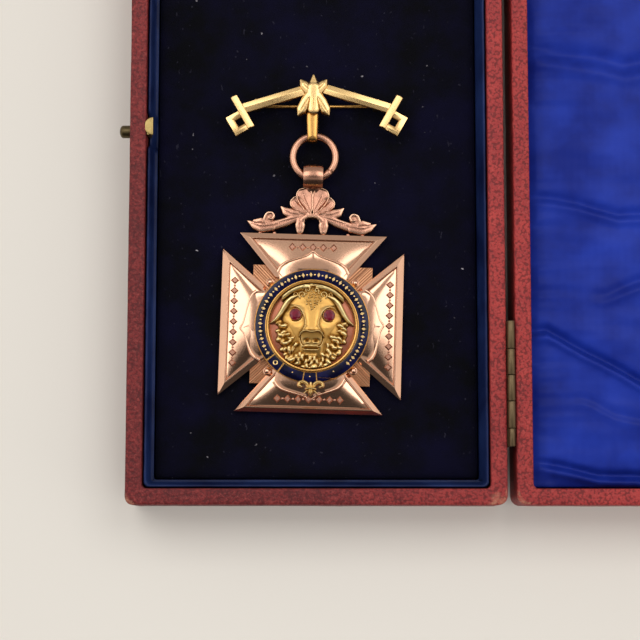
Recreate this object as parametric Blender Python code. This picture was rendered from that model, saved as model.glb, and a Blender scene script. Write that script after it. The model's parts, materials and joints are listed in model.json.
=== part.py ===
# Fraternal medal lying in its hinged leather presentation case, opened flat.
# Sizes are in millimetres here and become metres where a mesh is made.
# +X runs across the case towards the lid, +Y up the medal, +Z up. The origin is under the middle of the case base.

import math

import bmesh
import bpy
import numpy as np
from mathutils import Matrix, Vector

MM = 0.001

# Case
CASE_WIDTH = 94.0
CASE_LENGTH = 186.0
CASE_DEPTH = 18.0
WALL = 4.1
FLOOR = 3.0
OUTER_CORNER = 2.4
INNER_CORNER = 1.3
SOFT_GAP = 0.3
SILK_WIDTH = 2.0
SILK_TOP = 16.6
SILK_FOOT = 11.6
SILK_DIP_TOP = 12.7
PAD_TOP = 11.0
PAD_EDGE_DROP = 0.7

# Lid, which lies beside the base and closes onto it about the hinge axis
HINGE_GAP = 2.2
RIM_CLEARANCE = 0.3
HINGE_X = CASE_WIDTH / 2 + HINGE_GAP / 2
HINGE_Z = CASE_DEPTH + RIM_CLEARANCE / 2
LID_X = CASE_WIDTH + HINGE_GAP
LINING_GAP = 0.5
LINING_EDGE = 10.6
LINING_CROWN = 2.6

# Hinges: each row of HINGE_KNUCKLES runs on from the last, towards the near end of the case
HINGE_FAR_Y = -47.5
KNUCKLE_R = 1.0
PIN_R = 0.42
BORE_R = 0.5
KNUCKLE_GAP = 0.15
LEAF_THICKNESS = 0.4
LEAF_DEPTH = 6.0
LEAF_DROP = 0.25
HINGE_KNUCKLES = (
    # length, radius, carried by
    (7.0, 1.0, "base"),
    (6.5, 1.0, "lid"),
    (6.5, 1.0, "base"),
    (6.7, 1.0, "lid"),
    (4.5, 0.8, "base"),
)

# Push-button catch in the left wall
CATCH_Y = 1.0
CATCH_Z = 14.6
BUTTON_R = 1.6
BUTTON_REACH = 2.8
BUTTON_RECESS = 2.2
BUTTON_INSERT = 0.3
ROD_R = 1.1
HOOK_Y = 1.8
HOOK_R = 2.3
HOOK_THICKNESS = 0.8
HOOK_DROP = 0.15
HOOK_INSET = 0.5
KEEPER_LENGTH = 8.0
KEEPER_LOW = 14.0
KEEPER_THICKNESS = 0.8

# Medal: it lies on the pad, turned a little
MEDAL_X = -1.3
MEDAL_Y = -47.4
MEDAL_Z = PAD_TOP + SOFT_GAP
MEDAL_TURN = -1.7
METAL_GAP = 0.1

# Cross pattee, from its centre; heights from its back
CROSS_HALF = 22.4
ARM_TIP_HALF = 18.6
ARM_TAPER = 0.845
ARM_ROOT = 9.0
EDGE_HEIGHT = 0.9
RIDGE_HEIGHT = 2.35
PANEL_HEIGHT = 1.95
PANEL_CROWN = 0.2
OUTER_BEVEL = 1.9
SIDE_BEVEL = 1.8
PLATE_HALF = 15.0
PLATE_Y = -0.65
PLATE_HEIGHT = 1.5
BRACKET_HEIGHT = 2.5
BRACKET_RIDGE = 0.55
BRACKET_OUTLINE = (
    # across, out from the centre, down one side of the ogee
    (0.0, 18.3),
    (1.5, 17.1),
    (3.6, 16.4),
    (5.4, 15.8),
    (7.1, 15.1),
    (8.3, 14.1),
    (9.0, 12.7),
)
MOTIF_LINE = 19.2
MOTIF_HEIGHT = 1.6
MOTIF_PITCH = 2.6
LOZENGE_TOP = 0.45
ARM_MOTIFS = (
    # turn of the arm in degrees, lozenges in its row, and how far it was soldered off its true place
    (0, 5, -0.15, -0.05),
    (90, 9, -0.5, -0.35),
    (180, 7, -0.1, -0.35),
    (270, 9, 0.5, -0.35),
)

# Round medallion on the plate
MEDALLION_X = 0.2
MEDALLION_Y = -1.0
MEDALLION_Z = PLATE_HEIGHT + METAL_GAP
GARTER_R = 14.4
BAND_OUTER_R = 14.05
BAND_INNER_R = 11.6
DISC_R = 10.7
GARTER_TOP = 1.5
RIM_TOP = 1.75
CHANNEL_FLOOR = 1.0
ENAMEL_TOP = 1.45
DISC_THICKNESS = 0.4
ENAMEL_FIELDS = (
    # name, from and to angle in degrees, anticlockwise from +X
    ("enamel_band", -49.0, 217.5),
    ("enamel_buckle", 220.5, 233.5),
    ("enamel_tail_left", 236.5, 261.0),
    ("enamel_strap_end", 263.5, 275.5),
    ("enamel_tail_right", 278.0, 308.5),
)
BAND_MOTIFS = 22
STUD_R = 0.72
STUD_SEATS = ((-10.7, 9.9), (10.75, 10.25), (-10.7, -12.55), (10.9, -11.85))
STUD_TOP = 1.1

# Head relief, from the medallion's centre
EYE_X = 4.2
EYE_Y = 2.7
EYE_R = 1.5
EYE_SEAT = 1.9
SOCKET_R = 2.05
HEAD_R = 10.4
HEAD_STEP = 0.6
HEAD_STROKES = (
    # path as x, y pairs; half widths along it; heights along it; bluntness of the cross-section
    (((0, 2.6), (0, 0.4)), (7.0, 6.8), (2.3, 2.2), 2.6),
    (((0, 5.6), (0, 4.6)), (5.0, 5.2), (2.8, 2.9), 2.6),
    (((0, 5.4), (0, 1.6), (0, -1.5)), (3.4, 2.4, 2.1), (2.9, 3.3, 3.9), 4.0),
    (((-1.6, -2.6), (1.5, -2.6)), (1.9, 1.9), (3.7, 3.7), 4.0),
    (((-1.1, -4.0), (1.0, -4.0)), (1.3, 1.3), (3.1, 3.1), 4.0),
    (((-1.7, -5.3), (1.6, -5.3)), (0.7, 0.7), (2.8, 2.8), 2.0),
    (((-1.4, -6.3), (1.3, -6.3)), (0.7, 0.7), (2.5, 2.5), 2.0),
    (((0, -7.6), (0, -8.0)), (2.6, 2.6), (1.9, 1.8), 2.0),
    (((-4.4, -2.0), (-2.8, -5.6), (0, -7.2)), (3.2, 3.2, 3.0), (1.9, 1.9, 1.7), 2.4),
    (((4.4, -2.0), (2.8, -5.6), (0, -7.2)), (3.2, 3.2, 3.0), (1.9, 1.9, 1.7), 2.4),
    (((-1.0, 8.6), (-5.0, 9.2), (-7.2, 6.9)), (1.6, 1.3, 0.35), (2.7, 2.1, 1.0), 2.0),
    (((1.0, 8.8), (5.0, 9.1), (7.4, 6.7)), (1.6, 1.3, 0.35), (2.7, 2.1, 1.0), 2.0),
    (((-4.4, 7.1), (-7.2, 5.6), (-7.6, 2.4), (-10.3, 0.1)), (0.6, 1.1, 0.9, 0.3), (2.3, 2.0, 1.4, 0.8), 2.0),
    (((4.3, 7.3), (7.2, 5.4), (7.6, 2.2), (10.3, 0.6)), (0.6, 1.1, 0.9, 0.3), (2.3, 2.0, 1.4, 0.8), 2.0),
)
BEARD_LOCKS = (
    # root x and y, tip x and y, half width
    (-6.0, 0.2, -8.7, -1.2, 0.8),
    (-5.8, -1.6, -8.1, -2.9, 0.85),
    (-5.4, -3.0, -7.8, -4.5, 0.9),
    (-4.6, -4.6, -6.5, -6.5, 0.9),
    (-3.4, -6.2, -4.7, -8.6, 0.95),
    (-1.8, -7.4, -2.4, -10.0, 0.95),
    (0.0, -7.8, 0.2, -10.5, 0.95),
    (1.9, -7.4, 2.6, -10.1, 0.95),
    (3.5, -6.2, 4.9, -8.8, 0.95),
    (4.7, -4.6, 6.5, -6.6, 0.9),
    (5.5, -3.0, 7.7, -4.6, 0.9),
    (5.9, -1.4, 8.5, -2.9, 0.85),
    (6.1, 0.3, 9.0, -1.4, 0.8),
)

# Crest, from the cross's centre
CREST_X = -0.65
CREST_BACK = 0.4
CREST_STEP = 0.62
CREST_THICKNESS = 0.7
CREST_STROKES = (
    # one half, mirrored: path; half widths; heights above the flat; bluntness
    (((0.6, 26.9), (2.2, 32.6)), (1.2, 2.1), (0.9, 0.7), 2.0),
    (((1.0, 26.9), (4.3, 30.0)), (1.2, 1.9), (0.9, 0.7), 2.0),
    (((1.2, 27.3), (5.4, 27.4), (7.8, 28.7)), (1.2, 1.1, 0.3), (0.8, 0.7, 0.3), 2.0),
    (((0, 27.6), (2.6, 27.2), (3.4, 25.4)), (0.9, 0.9, 1.0), (0.9, 0.8, 0.6), 2.0),
    (((2.6, 26.6), (6.2, 25.6), (9.6, 24.7)), (1.1, 1.1, 1.3), (0.8, 0.7, 0.7), 2.0),
    (((9.2, 24.6), (12.6, 23.9), (16.1, 25.3)), (1.4, 2.1, 0.3), (0.8, 0.8, 0.3), 2.0),
    (((12.4, 24.6), (12.2, 26.2), (10.6, 27.0)), (0.8, 0.8, 1.45), (0.7, 0.8, 0.8), 2.0),
    (((3.15, 25.6), (3.0, 23.3)), (1.0, 0.9), (0.6, 0.6), 2.0),
)
CREST_SEATS = (-13.0, -9.4, -3.2, 3.0, 9.2, 12.8)
NECK_HALF = 2.1

# Barrel bail and suspension ring
BAIL_Y = 37.3
BAIL_R = 2.77
BAIL_END_R = 2.45
BAIL_BORE_R = 1.75
BAIL_LENGTH = 4.95
RING_X = -0.62
RING_Y = -5.43
RING_Z = MEDAL_Z + BAIL_R
RING_MEAN_R = 5.35
RING_WIRE_R = 0.85
RING_STEPS = 32

# Brooch bar, in the case's frame
KNOT_X = 19.4
KNOT_Y = 3.33
KNOT_SIDE = 5.4
STRIP_WIDTH = 1.8
KNOT_TURN = 29.5
BAR_BACK = 14.9
BAR_THICKNESS = 1.2
CROSSING_RISE = 0.45
STRIP_LENGTH = 9.2
BAR_LOW_END = (17.6, 5.48)
BAR_PEAK_Y = 11.2
BAR_BREADTH = 2.7
BOSS_X = -0.8
BOSS_STEP = 0.6
BOSS_LIFT = 0.8
BOSS_STROKES = (
    # across from the boss's middle and up: path; half widths; heights; bluntness
    (((0, 11.6), (0, 6.7)), (2.2, 1.7), (1.5, 1.3), 2.2),
    (((-0.6, 10.4), (-1.8, 8.0), (-3.7, 5.3)), (1.6, 1.8, 0.5), (1.3, 1.2, 0.7), 2.0),
    (((0.6, 10.4), (1.8, 8.0), (3.7, 5.3)), (1.6, 1.8, 0.5), (1.3, 1.2, 0.7), 2.0),
    (((-1.0, 11.6), (-2.8, 13.6)), (1.7, 1.0), (1.2, 0.9), 2.0),
    (((1.0, 11.6), (2.8, 13.6)), (1.7, 1.0), (1.2, 0.9), 2.0),
    (((0, 12.4), (0, 14.6)), (1.7, 0.9), (1.3, 0.9), 2.0),
)
LOOP_X = -1.1
LOOP_NEAR_Y = -1.84
LOOP_FAR_Y = 7.0
LOOP_BAND = 0.5
LOOP_OUTER_HEIGHT = 3.3
LOOP_WIDTH_FAR = 3.2
LOOP_WIDTH_NEAR = 2.4
PIN_WIRE_R = 0.45
PIN_Y = 8.1
PIN_Z = 12.3
PIN_HALF = 15.6
EAR_X = 15.0

# Fleur-de-lis at the strap's end, from the medallion's centre
FINIAL_X = 0.0
FINIAL_Y = -15.0
FINIAL_STEP = 0.52
FINIAL_STROKES = (
    # path; half widths; heights; bluntness
    (((0, 0.9), (0, -1.2), (0, -3.1)), (0.5, 0.85, 0.2), (0.7, 0.9, 0.4), 2.0),
    (((-0.4, -0.3), (-1.6, 1.0), (-3.0, 0.5), (-2.7, -0.8)), (0.45, 0.75, 0.6, 0.4), (0.6, 0.7, 0.6, 0.5), 2.0),
    (((0.4, -0.3), (1.6, 1.0), (3.0, 0.5), (2.7, -0.8)), (0.45, 0.75, 0.6, 0.4), (0.6, 0.7, 0.6, 0.5), 2.0),
    (((-1.1, 0.1), (1.1, 0.1)), (0.45, 0.45), (0.8, 0.8), 2.0),
)

# Lid silk: main creases, from the lid's middle and the case's middle
LINING_CREASES = (
    # path as x, y pairs across the lid; depth; half width
    (((-42, -15.0), (-30, -16.5), (-20, -20.0), (0, -18.5), (42, -13.0)), 1.0, 2.6),
    (((-42, -49.2), (-36, -49.0), (-24, -56.5), (0, -63.0), (42, -58.0)), 1.3, 3.0),
    (((-24, -40.0), (-16, -37.0), (6, -33.0), (42, -36.0)), 0.7, 2.4),
    (((-40, -82.8), (-27, -84.4), (0, -85.0), (42, -82.0)), 1.0, 2.4),
    (((-42, 24.0), (-18, 19.0), (14, 27.0), (42, 22.0)), 1.0, 2.8),
    (((-42, 58.0), (-20, 64.0), (12, 57.0), (42, 62.0)), 1.1, 2.8),
)

COLOURS = {
    "rose_gold": ((0.62, 0.31, 0.21), 0.16, 1.0),
    "yellow_gold": ((0.72, 0.43, 0.13), 0.24, 1.0),
    "navy_enamel": ((0.006, 0.007, 0.075), 0.12, 0.0),
    "red_stone": ((0.35, 0.006, 0.025), 0.05, 0.0),
    "red_leather": ((0.27, 0.035, 0.033), 0.5, 0.0),
    "navy_velvet": ((0.006, 0.006, 0.018), 0.95, 0.0),
    "blue_silk": ((0.018, 0.03, 0.16), 0.38, 0.0),
    "old_brass": ((0.30, 0.20, 0.08), 0.45, 1.0),
}


def clear_scene():
    for old in list(bpy.data.objects):
        bpy.data.objects.remove(old, do_unlink=True)


def material(name):
    """One Principled material for each finish."""
    found = bpy.data.materials.get(name)
    if found:
        return found
    colour, roughness, metallic = COLOURS[name]
    made = bpy.data.materials.new(name)
    made.use_nodes = True
    shader = made.node_tree.nodes["Principled BSDF"]
    shader.inputs["Base Color"].default_value = (*colour, 1.0)
    shader.inputs["Roughness"].default_value = roughness
    shader.inputs["Metallic"].default_value = metallic
    return made


def new_object(name, bm, finish, smooth=None, parent=None):
    """Puts the bmesh, drawn in millimetres, into the scene as one named object."""
    bmesh.ops.recalc_face_normals(bm, faces=bm.faces)
    bm.transform(Matrix.Scale(MM, 4))
    mesh = bpy.data.meshes.new(name)
    bm.to_mesh(mesh)
    bm.free()
    if smooth:
        mesh.shade_smooth()
        mesh.set_sharp_from_angle(angle=math.radians(smooth))
    made = bpy.data.objects.new(name, mesh)
    bpy.context.scene.collection.objects.link(made)
    made.data.materials.append(material(finish))
    if parent:
        made.parent = parent
    return made


def empty(name, x, y, z, turn=0.0):
    made = bpy.data.objects.new(name, None)
    made.location = Vector((x, y, z)) * MM
    made.rotation_euler.z = math.radians(turn)
    made.empty_display_size = 0.01
    bpy.context.scene.collection.objects.link(made)
    return made


def combine(target, tools, operation):
    """Joins or cuts the target with the other objects, and leaves only the target."""
    for tool in tools:
        step = target.modifiers.new(operation.lower(), "BOOLEAN")
        step.operation = operation
        step.solver = "EXACT"
        step.object = tool
        bpy.context.view_layer.update()
        graph = bpy.context.evaluated_depsgraph_get()
        mesh = bpy.data.meshes.new_from_object(target.evaluated_get(graph))
        target.modifiers.clear()
        target.data = mesh
        bpy.data.objects.remove(tool, do_unlink=True)
    return target


def rounded_rectangle(width, length, radius, steps=4):
    points = []
    for corner, (sx, sy) in enumerate(((1, 1), (-1, 1), (-1, -1), (1, -1))):
        cx, cy = sx * (width / 2 - radius), sy * (length / 2 - radius)
        for i in range(steps + 1):
            angle = math.pi / 2 * (corner + i / steps)
            points.append((cx + radius * math.cos(angle), cy + radius * math.sin(angle)))
    return points


def circle(radius, sides, x=0.0, y=0.0):
    turns = (2 * math.pi * i / sides for i in range(sides))
    return [(x + radius * math.cos(a), y + radius * math.sin(a)) for a in turns]


def loft(bm, outlines, closed_ring=False):
    """Skins rings of points that match one for one, and caps the ends unless the rings close on themselves."""
    rings = [[bm.verts.new(p) for p in outline] for outline in outlines]
    pairs = list(zip(rings, rings[1:] + rings[:1])) if closed_ring else list(zip(rings, rings[1:]))
    for low, high in pairs:
        for i in range(len(low)):
            j = (i + 1) % len(low)
            bm.faces.new((low[i], low[j], high[j], high[i]))
    if not closed_ring:
        bm.faces.new(rings[0])
        bm.faces.new(rings[-1])
    return rings


def prism(outline, low, high):
    bm = bmesh.new()
    loft(bm, [[(x, y, low) for x, y in outline], [(x, y, high) for x, y in outline]])
    return bm


def box(low, high):
    outline = ((low[0], low[1]), (high[0], low[1]), (high[0], high[1]), (low[0], high[1]))
    return prism(outline, low[2], high[2])


def turned(profile, sides, closed=True):
    """Spins (radius, height) points about Z. A closed profile makes a ring, an open one a capped solid."""
    bm = bmesh.new()
    rings = [[(x, y, z) for x, y in circle(r, sides)] for r, z in profile]
    loft(bm, rings, closed_ring=closed)
    return bm


def stroke_height(x, y, path, half_widths, heights, bluntness, samples=26):
    """Height over each point of a tapered, rounded stroke laid along a smooth path; below zero outside it."""
    path = np.array(path, float)
    knots = np.linspace(0, 1, len(path))
    where = np.linspace(0, 1, samples)
    px, py = np.interp(where, knots, path[:, 0]), np.interp(where, knots, path[:, 1])
    if len(path) > 2:
        for _ in range(3):
            px[1:-1] = (px[:-2] + 2 * px[1:-1] + px[2:]) / 4
            py[1:-1] = (py[:-2] + 2 * py[1:-1] + py[2:]) / 4
    widths = np.interp(where, np.linspace(0, 1, len(half_widths)), half_widths)
    tops = np.interp(where, np.linspace(0, 1, len(heights)), heights)
    best = np.full(x.shape, -9.0)
    for cx, cy, width, top in zip(px, py, widths, tops):
        reach = np.hypot(x - cx, y - cy) / width
        inside = top * np.clip(1 - reach**bluntness, 0, None) ** (1 / bluntness)
        best = np.maximum(best, np.where(reach < 1, inside, (1 - reach) * width * 1.5))
    return best


def relief(height_of, x_range, y_range, step, back, lift):
    """A closed solid: the surface height_of(x, y) + lift, cut off flat at back where it falls below it."""
    xs = np.arange(x_range[0], x_range[1] + step / 2, step)
    ys = np.arange(y_range[0], y_range[1] + step / 2, step)
    gx, gy = np.meshgrid(xs, ys)
    gz = height_of(gx, gy) + lift
    bm = bmesh.new()
    grid = [
        [bm.verts.new((gx[j, i], gy[j, i], gz[j, i])) for i in range(len(xs))] for j in range(len(ys))
    ]
    for j in range(len(ys) - 1):
        for i in range(len(xs) - 1):
            a, b, c, d = grid[j][i], grid[j][i + 1], grid[j + 1][i + 1], grid[j + 1][i]
            if (i + j) % 2:
                bm.faces.new((a, b, c))
                bm.faces.new((a, c, d))
            else:
                bm.faces.new((a, b, d))
                bm.faces.new((b, c, d))
    cut = bmesh.ops.bisect_plane(
        bm,
        geom=bm.verts[:] + bm.edges[:] + bm.faces[:],
        dist=1e-5,
        plane_co=(0, 0, lift),
        plane_no=(0, 0, 1),
        clear_inner=True,
    )
    rim = [e for e in cut["geom_cut"] if isinstance(e, bmesh.types.BMEdge)]
    down = bmesh.ops.extrude_edge_only(bm, edges=rim)["geom"]
    low = [v for v in down if isinstance(v, bmesh.types.BMVert)]
    for vert in low:
        vert.co.z = back
    low_edges = [e for e in down if isinstance(e, bmesh.types.BMEdge)]
    bmesh.ops.triangle_fill(bm, use_beauty=True, edges=low_edges, normal=(0, 0, -1))
    return bm


def largest_piece(bm):
    """Drops any crumb of relief that is not joined to the main piece."""
    unseen, pieces = set(bm.verts), []
    while unseen:
        stack, piece = [unseen.pop()], set()
        while stack:
            vert = stack.pop()
            piece.add(vert)
            for edge in vert.link_edges:
                other = edge.other_vert(vert)
                if other in unseen:
                    unseen.discard(other)
                    stack.append(other)
        pieces.append(piece)
    pieces.sort(key=len)
    for piece in pieces[:-1]:
        bmesh.ops.delete(bm, geom=list(piece), context="VERTS")
    return bm


def strokes_height(strokes, mirror_x=False):
    def height_of(x, y):
        best = np.full(x.shape, -9.0)
        for path, widths, heights, bluntness in strokes:
            best = np.maximum(best, stroke_height(x, y, path, widths, heights, bluntness))
            if mirror_x:
                best = np.maximum(best, stroke_height(-x, y, path, widths, heights, bluntness))
        return best

    return height_of


# Case base, lid, pad and linings


def case_shell(name, middle_x, cut_notch=False):
    """Open leather-covered box with softened edges; cut_notch bores the left wall for the catch."""
    outer = rounded_rectangle(CASE_WIDTH, CASE_LENGTH, OUTER_CORNER)
    inner = rounded_rectangle(CASE_WIDTH - 2 * WALL, CASE_LENGTH - 2 * WALL, INNER_CORNER)
    soften = 0.5
    shrunk = rounded_rectangle(CASE_WIDTH - 2 * soften, CASE_LENGTH - 2 * soften, OUTER_CORNER - soften)
    opened = rounded_rectangle(
        CASE_WIDTH - 2 * (WALL - soften), CASE_LENGTH - 2 * (WALL - soften), INNER_CORNER + soften
    )
    levels = (
        (shrunk, 0.0),
        (outer, soften),
        (outer, CASE_DEPTH - soften),
        (shrunk, CASE_DEPTH),
        (opened, CASE_DEPTH),
        (inner, CASE_DEPTH - soften),
        (inner, FLOOR),
    )
    bm = bmesh.new()
    loft(bm, [[(middle_x + x, y, z) for x, y in outline] for outline, z in levels])
    shell = new_object(name, bm, "red_leather", smooth=40)
    if cut_notch:
        wall_x = -CASE_WIDTH / 2
        past = 1.0
        stations = (
            (wall_x - past, BUTTON_R),
            (wall_x + BUTTON_RECESS, BUTTON_R),
            (wall_x + BUTTON_RECESS, ROD_R),
            (wall_x + WALL + past, ROD_R),
        )
        bore = bmesh.new()
        loft(bore, [[(x, CATCH_Y + a, CATCH_Z + b) for a, b in circle(r + SOFT_GAP, 16)] for x, r in stations])
        clear = HOOK_R + SOFT_GAP
        notch_floor = CASE_DEPTH - HOOK_DROP - HOOK_THICKNESS - 0.4
        top_notch = box(
            (wall_x + WALL - HOOK_INSET - 0.4, HOOK_Y - clear, notch_floor),
            (wall_x + WALL + past, HOOK_Y + clear, CASE_DEPTH + past),
        )
        tools = [new_object("bore_cutter", bore, "old_brass"), new_object("notch_cutter", top_notch, "old_brass")]
        combine(shell, tools, "DIFFERENCE")
    return shell


def silk_edge():
    """A padded strip of silk that slopes from the walls down to the pad; it is cut low under the catch's hook."""
    outer_w = CASE_WIDTH - 2 * (WALL + SOFT_GAP)
    outer_l = CASE_LENGTH - 2 * (WALL + SOFT_GAP)
    low = FLOOR + SOFT_GAP
    section = (
        # in from the strip's outer face, height
        (0.0, low),
        (0.0, SILK_TOP - 0.4),
        (0.35, SILK_TOP),
        (0.8, SILK_TOP - 0.6),
        (1.5, SILK_TOP - 2.8),
        (SILK_WIDTH, SILK_FOOT),
        (SILK_WIDTH, low),
    )
    dip = (SILK_DIP_TOP - low) / (SILK_TOP - low)
    rings = []
    for inset, z in section:
        outline = rounded_rectangle(outer_w - 2 * inset, outer_l - 2 * inset, max(1.2 - inset * 0.4, 0.4), 3)
        ring = []
        for (x, y), (next_x, next_y) in zip(outline, outline[1:] + outline[:1]):
            ring.append((x, y, z))
            if x < 0 and abs(x - next_x) < 0.01 and y - next_y > CASE_LENGTH / 2:
                lowered = low + (z - low) * dip
                ring += [(x, CATCH_Y + away, level) for away, level in ((4.8, z), (2.8, lowered), (-2.4, lowered), (-4.4, z))]
        rings.append(ring)
    bm = bmesh.new()
    loft(bm, rings, closed_ring=True)
    return new_object("silk_edge", bm, "blue_silk", smooth=50)


def velvet_pad():
    inset = 2 * (WALL + SOFT_GAP + SILK_WIDTH + SOFT_GAP)
    width, length = CASE_WIDTH - inset, CASE_LENGTH - inset
    levels = (
        (0.0, FLOOR + SOFT_GAP),
        (0.0, PAD_TOP - 1.6),
        (0.35, PAD_TOP - PAD_EDGE_DROP),
        (1.6, PAD_TOP - 0.2),
        (6.0, PAD_TOP),
    )
    bm = bmesh.new()
    rings = []
    for inward, z in levels:
        outline = rounded_rectangle(width - 2 * inward, length - 2 * inward, 0.8 + inward * 0.3, 3)
        rings.append([(x, y, z) for x, y in outline])
    loft(bm, rings)
    return new_object("velvet_pad", bm, "navy_velvet", smooth=50)


def lining_height(x, y, half_w, half_l):
    """Crown of the padded silk with its main creases pressed in."""
    swell = (1 - (np.abs(x) / half_w) ** 6) * (1 - (np.abs(y) / half_l) ** 10)
    height = LINING_EDGE + LINING_CROWN * np.clip(swell, 0, None)
    for path, depth, half_width in LINING_CREASES:
        px, py = zip(*path)
        line = np.interp(x, px, py)
        fade = np.clip((x - px[0] + 4) / 8, 0, 1) * np.clip((px[-1] + 4 - x) / 8, 0, 1)
        away = (y - line) / half_width
        height = height - depth * fade * (np.exp(-(away**2)) - 0.7 * np.exp(-((away + 1.7) ** 2)))
    return height


def lid_lining():
    half_w = CASE_WIDTH / 2 - WALL - LINING_GAP
    half_l = CASE_LENGTH / 2 - WALL - LINING_GAP
    columns, rows = 12, 34
    edge_x = np.sin(np.linspace(-1, 1, columns + 1) * math.pi / 2) * 0.35 + np.linspace(-1, 1, columns + 1) * 0.65
    edge_y = np.linspace(-1, 1, rows + 1)
    gx, gy = np.meshgrid(edge_x * half_w, edge_y * half_l)
    gz = lining_height(gx, gy, half_w, half_l)
    bm = bmesh.new()
    grid = [
        [bm.verts.new((LID_X + gx[j, i], gy[j, i], gz[j, i])) for i in range(columns + 1)] for j in range(rows + 1)
    ]
    for j in range(rows):
        for i in range(columns):
            bm.faces.new((grid[j][i], grid[j][i + 1], grid[j + 1][i + 1], grid[j + 1][i]))
    rim = [e for e in bm.edges if e.is_boundary]
    down = bmesh.ops.extrude_edge_only(bm, edges=rim)["geom"]
    for vert in (v for v in down if isinstance(v, bmesh.types.BMVert)):
        vert.co.z = FLOOR + SOFT_GAP
    low_edges = [e for e in down if isinstance(e, bmesh.types.BMEdge)]
    bmesh.ops.triangle_fill(bm, use_beauty=True, edges=low_edges, normal=(0, 0, -1))
    return new_object("lid_lining", bm, "blue_silk", smooth=60)


# Hinges


def tube_along_y(radius, start, end, sides=10):
    bm = bmesh.new()
    loft(bm, [[(HINGE_X + a, y, HINGE_Z + b) for a, b in circle(radius, sides)] for y in (start, end)])
    return bm


def hinge(which, flip):
    """Two leaves with interleaved knuckles on one pin; flip mirrors it to the far half of the case."""
    spans, y = [], HINGE_FAR_Y
    for length, radius, side in HINGE_KNUCKLES:
        spans.append((y, y - length, radius, side))
        y -= length
    far, near = HINGE_FAR_Y, y
    top = HINGE_Z - KNUCKLE_R - LEAF_DROP
    for side, sign in (("base", -1), ("lid", 1)):
        wall_x = HINGE_X + sign * (HINGE_GAP / 2 - METAL_GAP)
        leaf_x = wall_x - sign * LEAF_THICKNESS
        low_x, high_x = sorted((wall_x, leaf_x))
        leaf = box((low_x, near, top - LEAF_DEPTH), (high_x, far, top))
        body = new_object(f"hinge_{which}_{side}_leaf", leaf, "old_brass", smooth=40)
        joined = []
        for start, end, radius, carrier in spans:
            if carrier != side:
                continue
            start, end = start - KNUCKLE_GAP / 2, end + KNUCKLE_GAP / 2
            joined.append(new_object("knuckle", tube_along_y(radius, start, end), "old_brass"))
            inner_x = HINGE_X + sign * 0.2
            low_x, high_x = sorted((wall_x, inner_x))
            tab = box((low_x, end + 0.1, top - 0.6), (high_x, start - 0.1, HINGE_Z))
            joined.append(new_object("tab", tab, "old_brass"))
        combine(body, joined, "UNION")
        bore = new_object("bore", tube_along_y(BORE_R, far + 1, near - 1), "old_brass")
        combine(body, [bore], "DIFFERENCE")
        finish_hinge_piece(body, flip)
    pin = new_object(f"hinge_{which}_pin", tube_along_y(PIN_R, far - 0.2, near + 0.2, 10), "old_brass", smooth=40)
    finish_hinge_piece(pin, flip)


def finish_hinge_piece(piece, flip):
    if flip:
        piece.data.transform(Matrix.Scale(-1, 4, (0, 1, 0)))
        piece.data.flip_normals()


# Catch


def catch():
    """Push button, its rod through the wall and the half-round hook, soldered in one."""
    wall_x = -CASE_WIDTH / 2
    button_profile = (
        (wall_x + BUTTON_INSERT, BUTTON_R),
        (wall_x - BUTTON_REACH + 0.7, BUTTON_R),
        (wall_x - BUTTON_REACH + 0.2, BUTTON_R * 0.85),
        (wall_x - BUTTON_REACH, BUTTON_R * 0.5),
    )
    bm = bmesh.new()
    loft(bm, [[(x, CATCH_Y + a, CATCH_Z + b) for a, b in circle(r, 16)] for x, r in button_profile])
    button = new_object("catch_button", bm, "old_brass", smooth=50)
    rod_end = wall_x + WALL + SOFT_GAP + HOOK_THICKNESS / 2
    rod = bmesh.new()
    ends = (wall_x - 1.0, rod_end)
    loft(rod, [[(x, CATCH_Y + a, CATCH_Z + b) for a, b in circle(ROD_R, 12)] for x in ends])
    inner = wall_x + WALL + SOFT_GAP
    hook_top = CASE_DEPTH - HOOK_DROP
    around_rod = ROD_R + 0.3
    upright = box(
        (inner, CATCH_Y - around_rod, CATCH_Z - around_rod),
        (inner + HOOK_THICKNESS, CATCH_Y + around_rod, hook_top),
    )
    flat_x = wall_x + WALL - HOOK_INSET + HOOK_R
    arc = [
        (flat_x - HOOK_R * math.sin(math.pi * i / 8), HOOK_Y + HOOK_R * math.cos(math.pi * i / 8)) for i in range(9)
    ]
    plate = prism(arc, hook_top - HOOK_THICKNESS, hook_top)
    more = [new_object(n, b, "old_brass") for n, b in (("rod", rod), ("upright", upright), ("plate", plate))]
    return combine(button, more, "UNION")


def catch_keeper():
    """Plain plate on the lid's far wall, where the hook meets it."""
    wall_x = LID_X + CASE_WIDTH / 2 - WALL - METAL_GAP
    half = KEEPER_LENGTH / 2
    low = (wall_x - KEEPER_THICKNESS, CATCH_Y - half, KEEPER_LOW)
    high = (wall_x, CATCH_Y + half, CASE_DEPTH - KEEPER_THICKNESS)
    return new_object("catch_keeper", box(low, high), "old_brass")


# Cross, crest and bail


def arm_half(out, inset=0.0):
    return ARM_TIP_HALF - (CROSS_HALF - out) * ARM_TAPER - inset * math.hypot(1, ARM_TAPER)


def arm_outline(outer_inset, side_inset, z):
    top = CROSS_HALF - outer_inset
    low, high = arm_half(ARM_ROOT, side_inset), arm_half(top, side_inset)
    return [(-low, ARM_ROOT, z), (low, ARM_ROOT, z), (high, top, z), (-high, top, z)]


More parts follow.
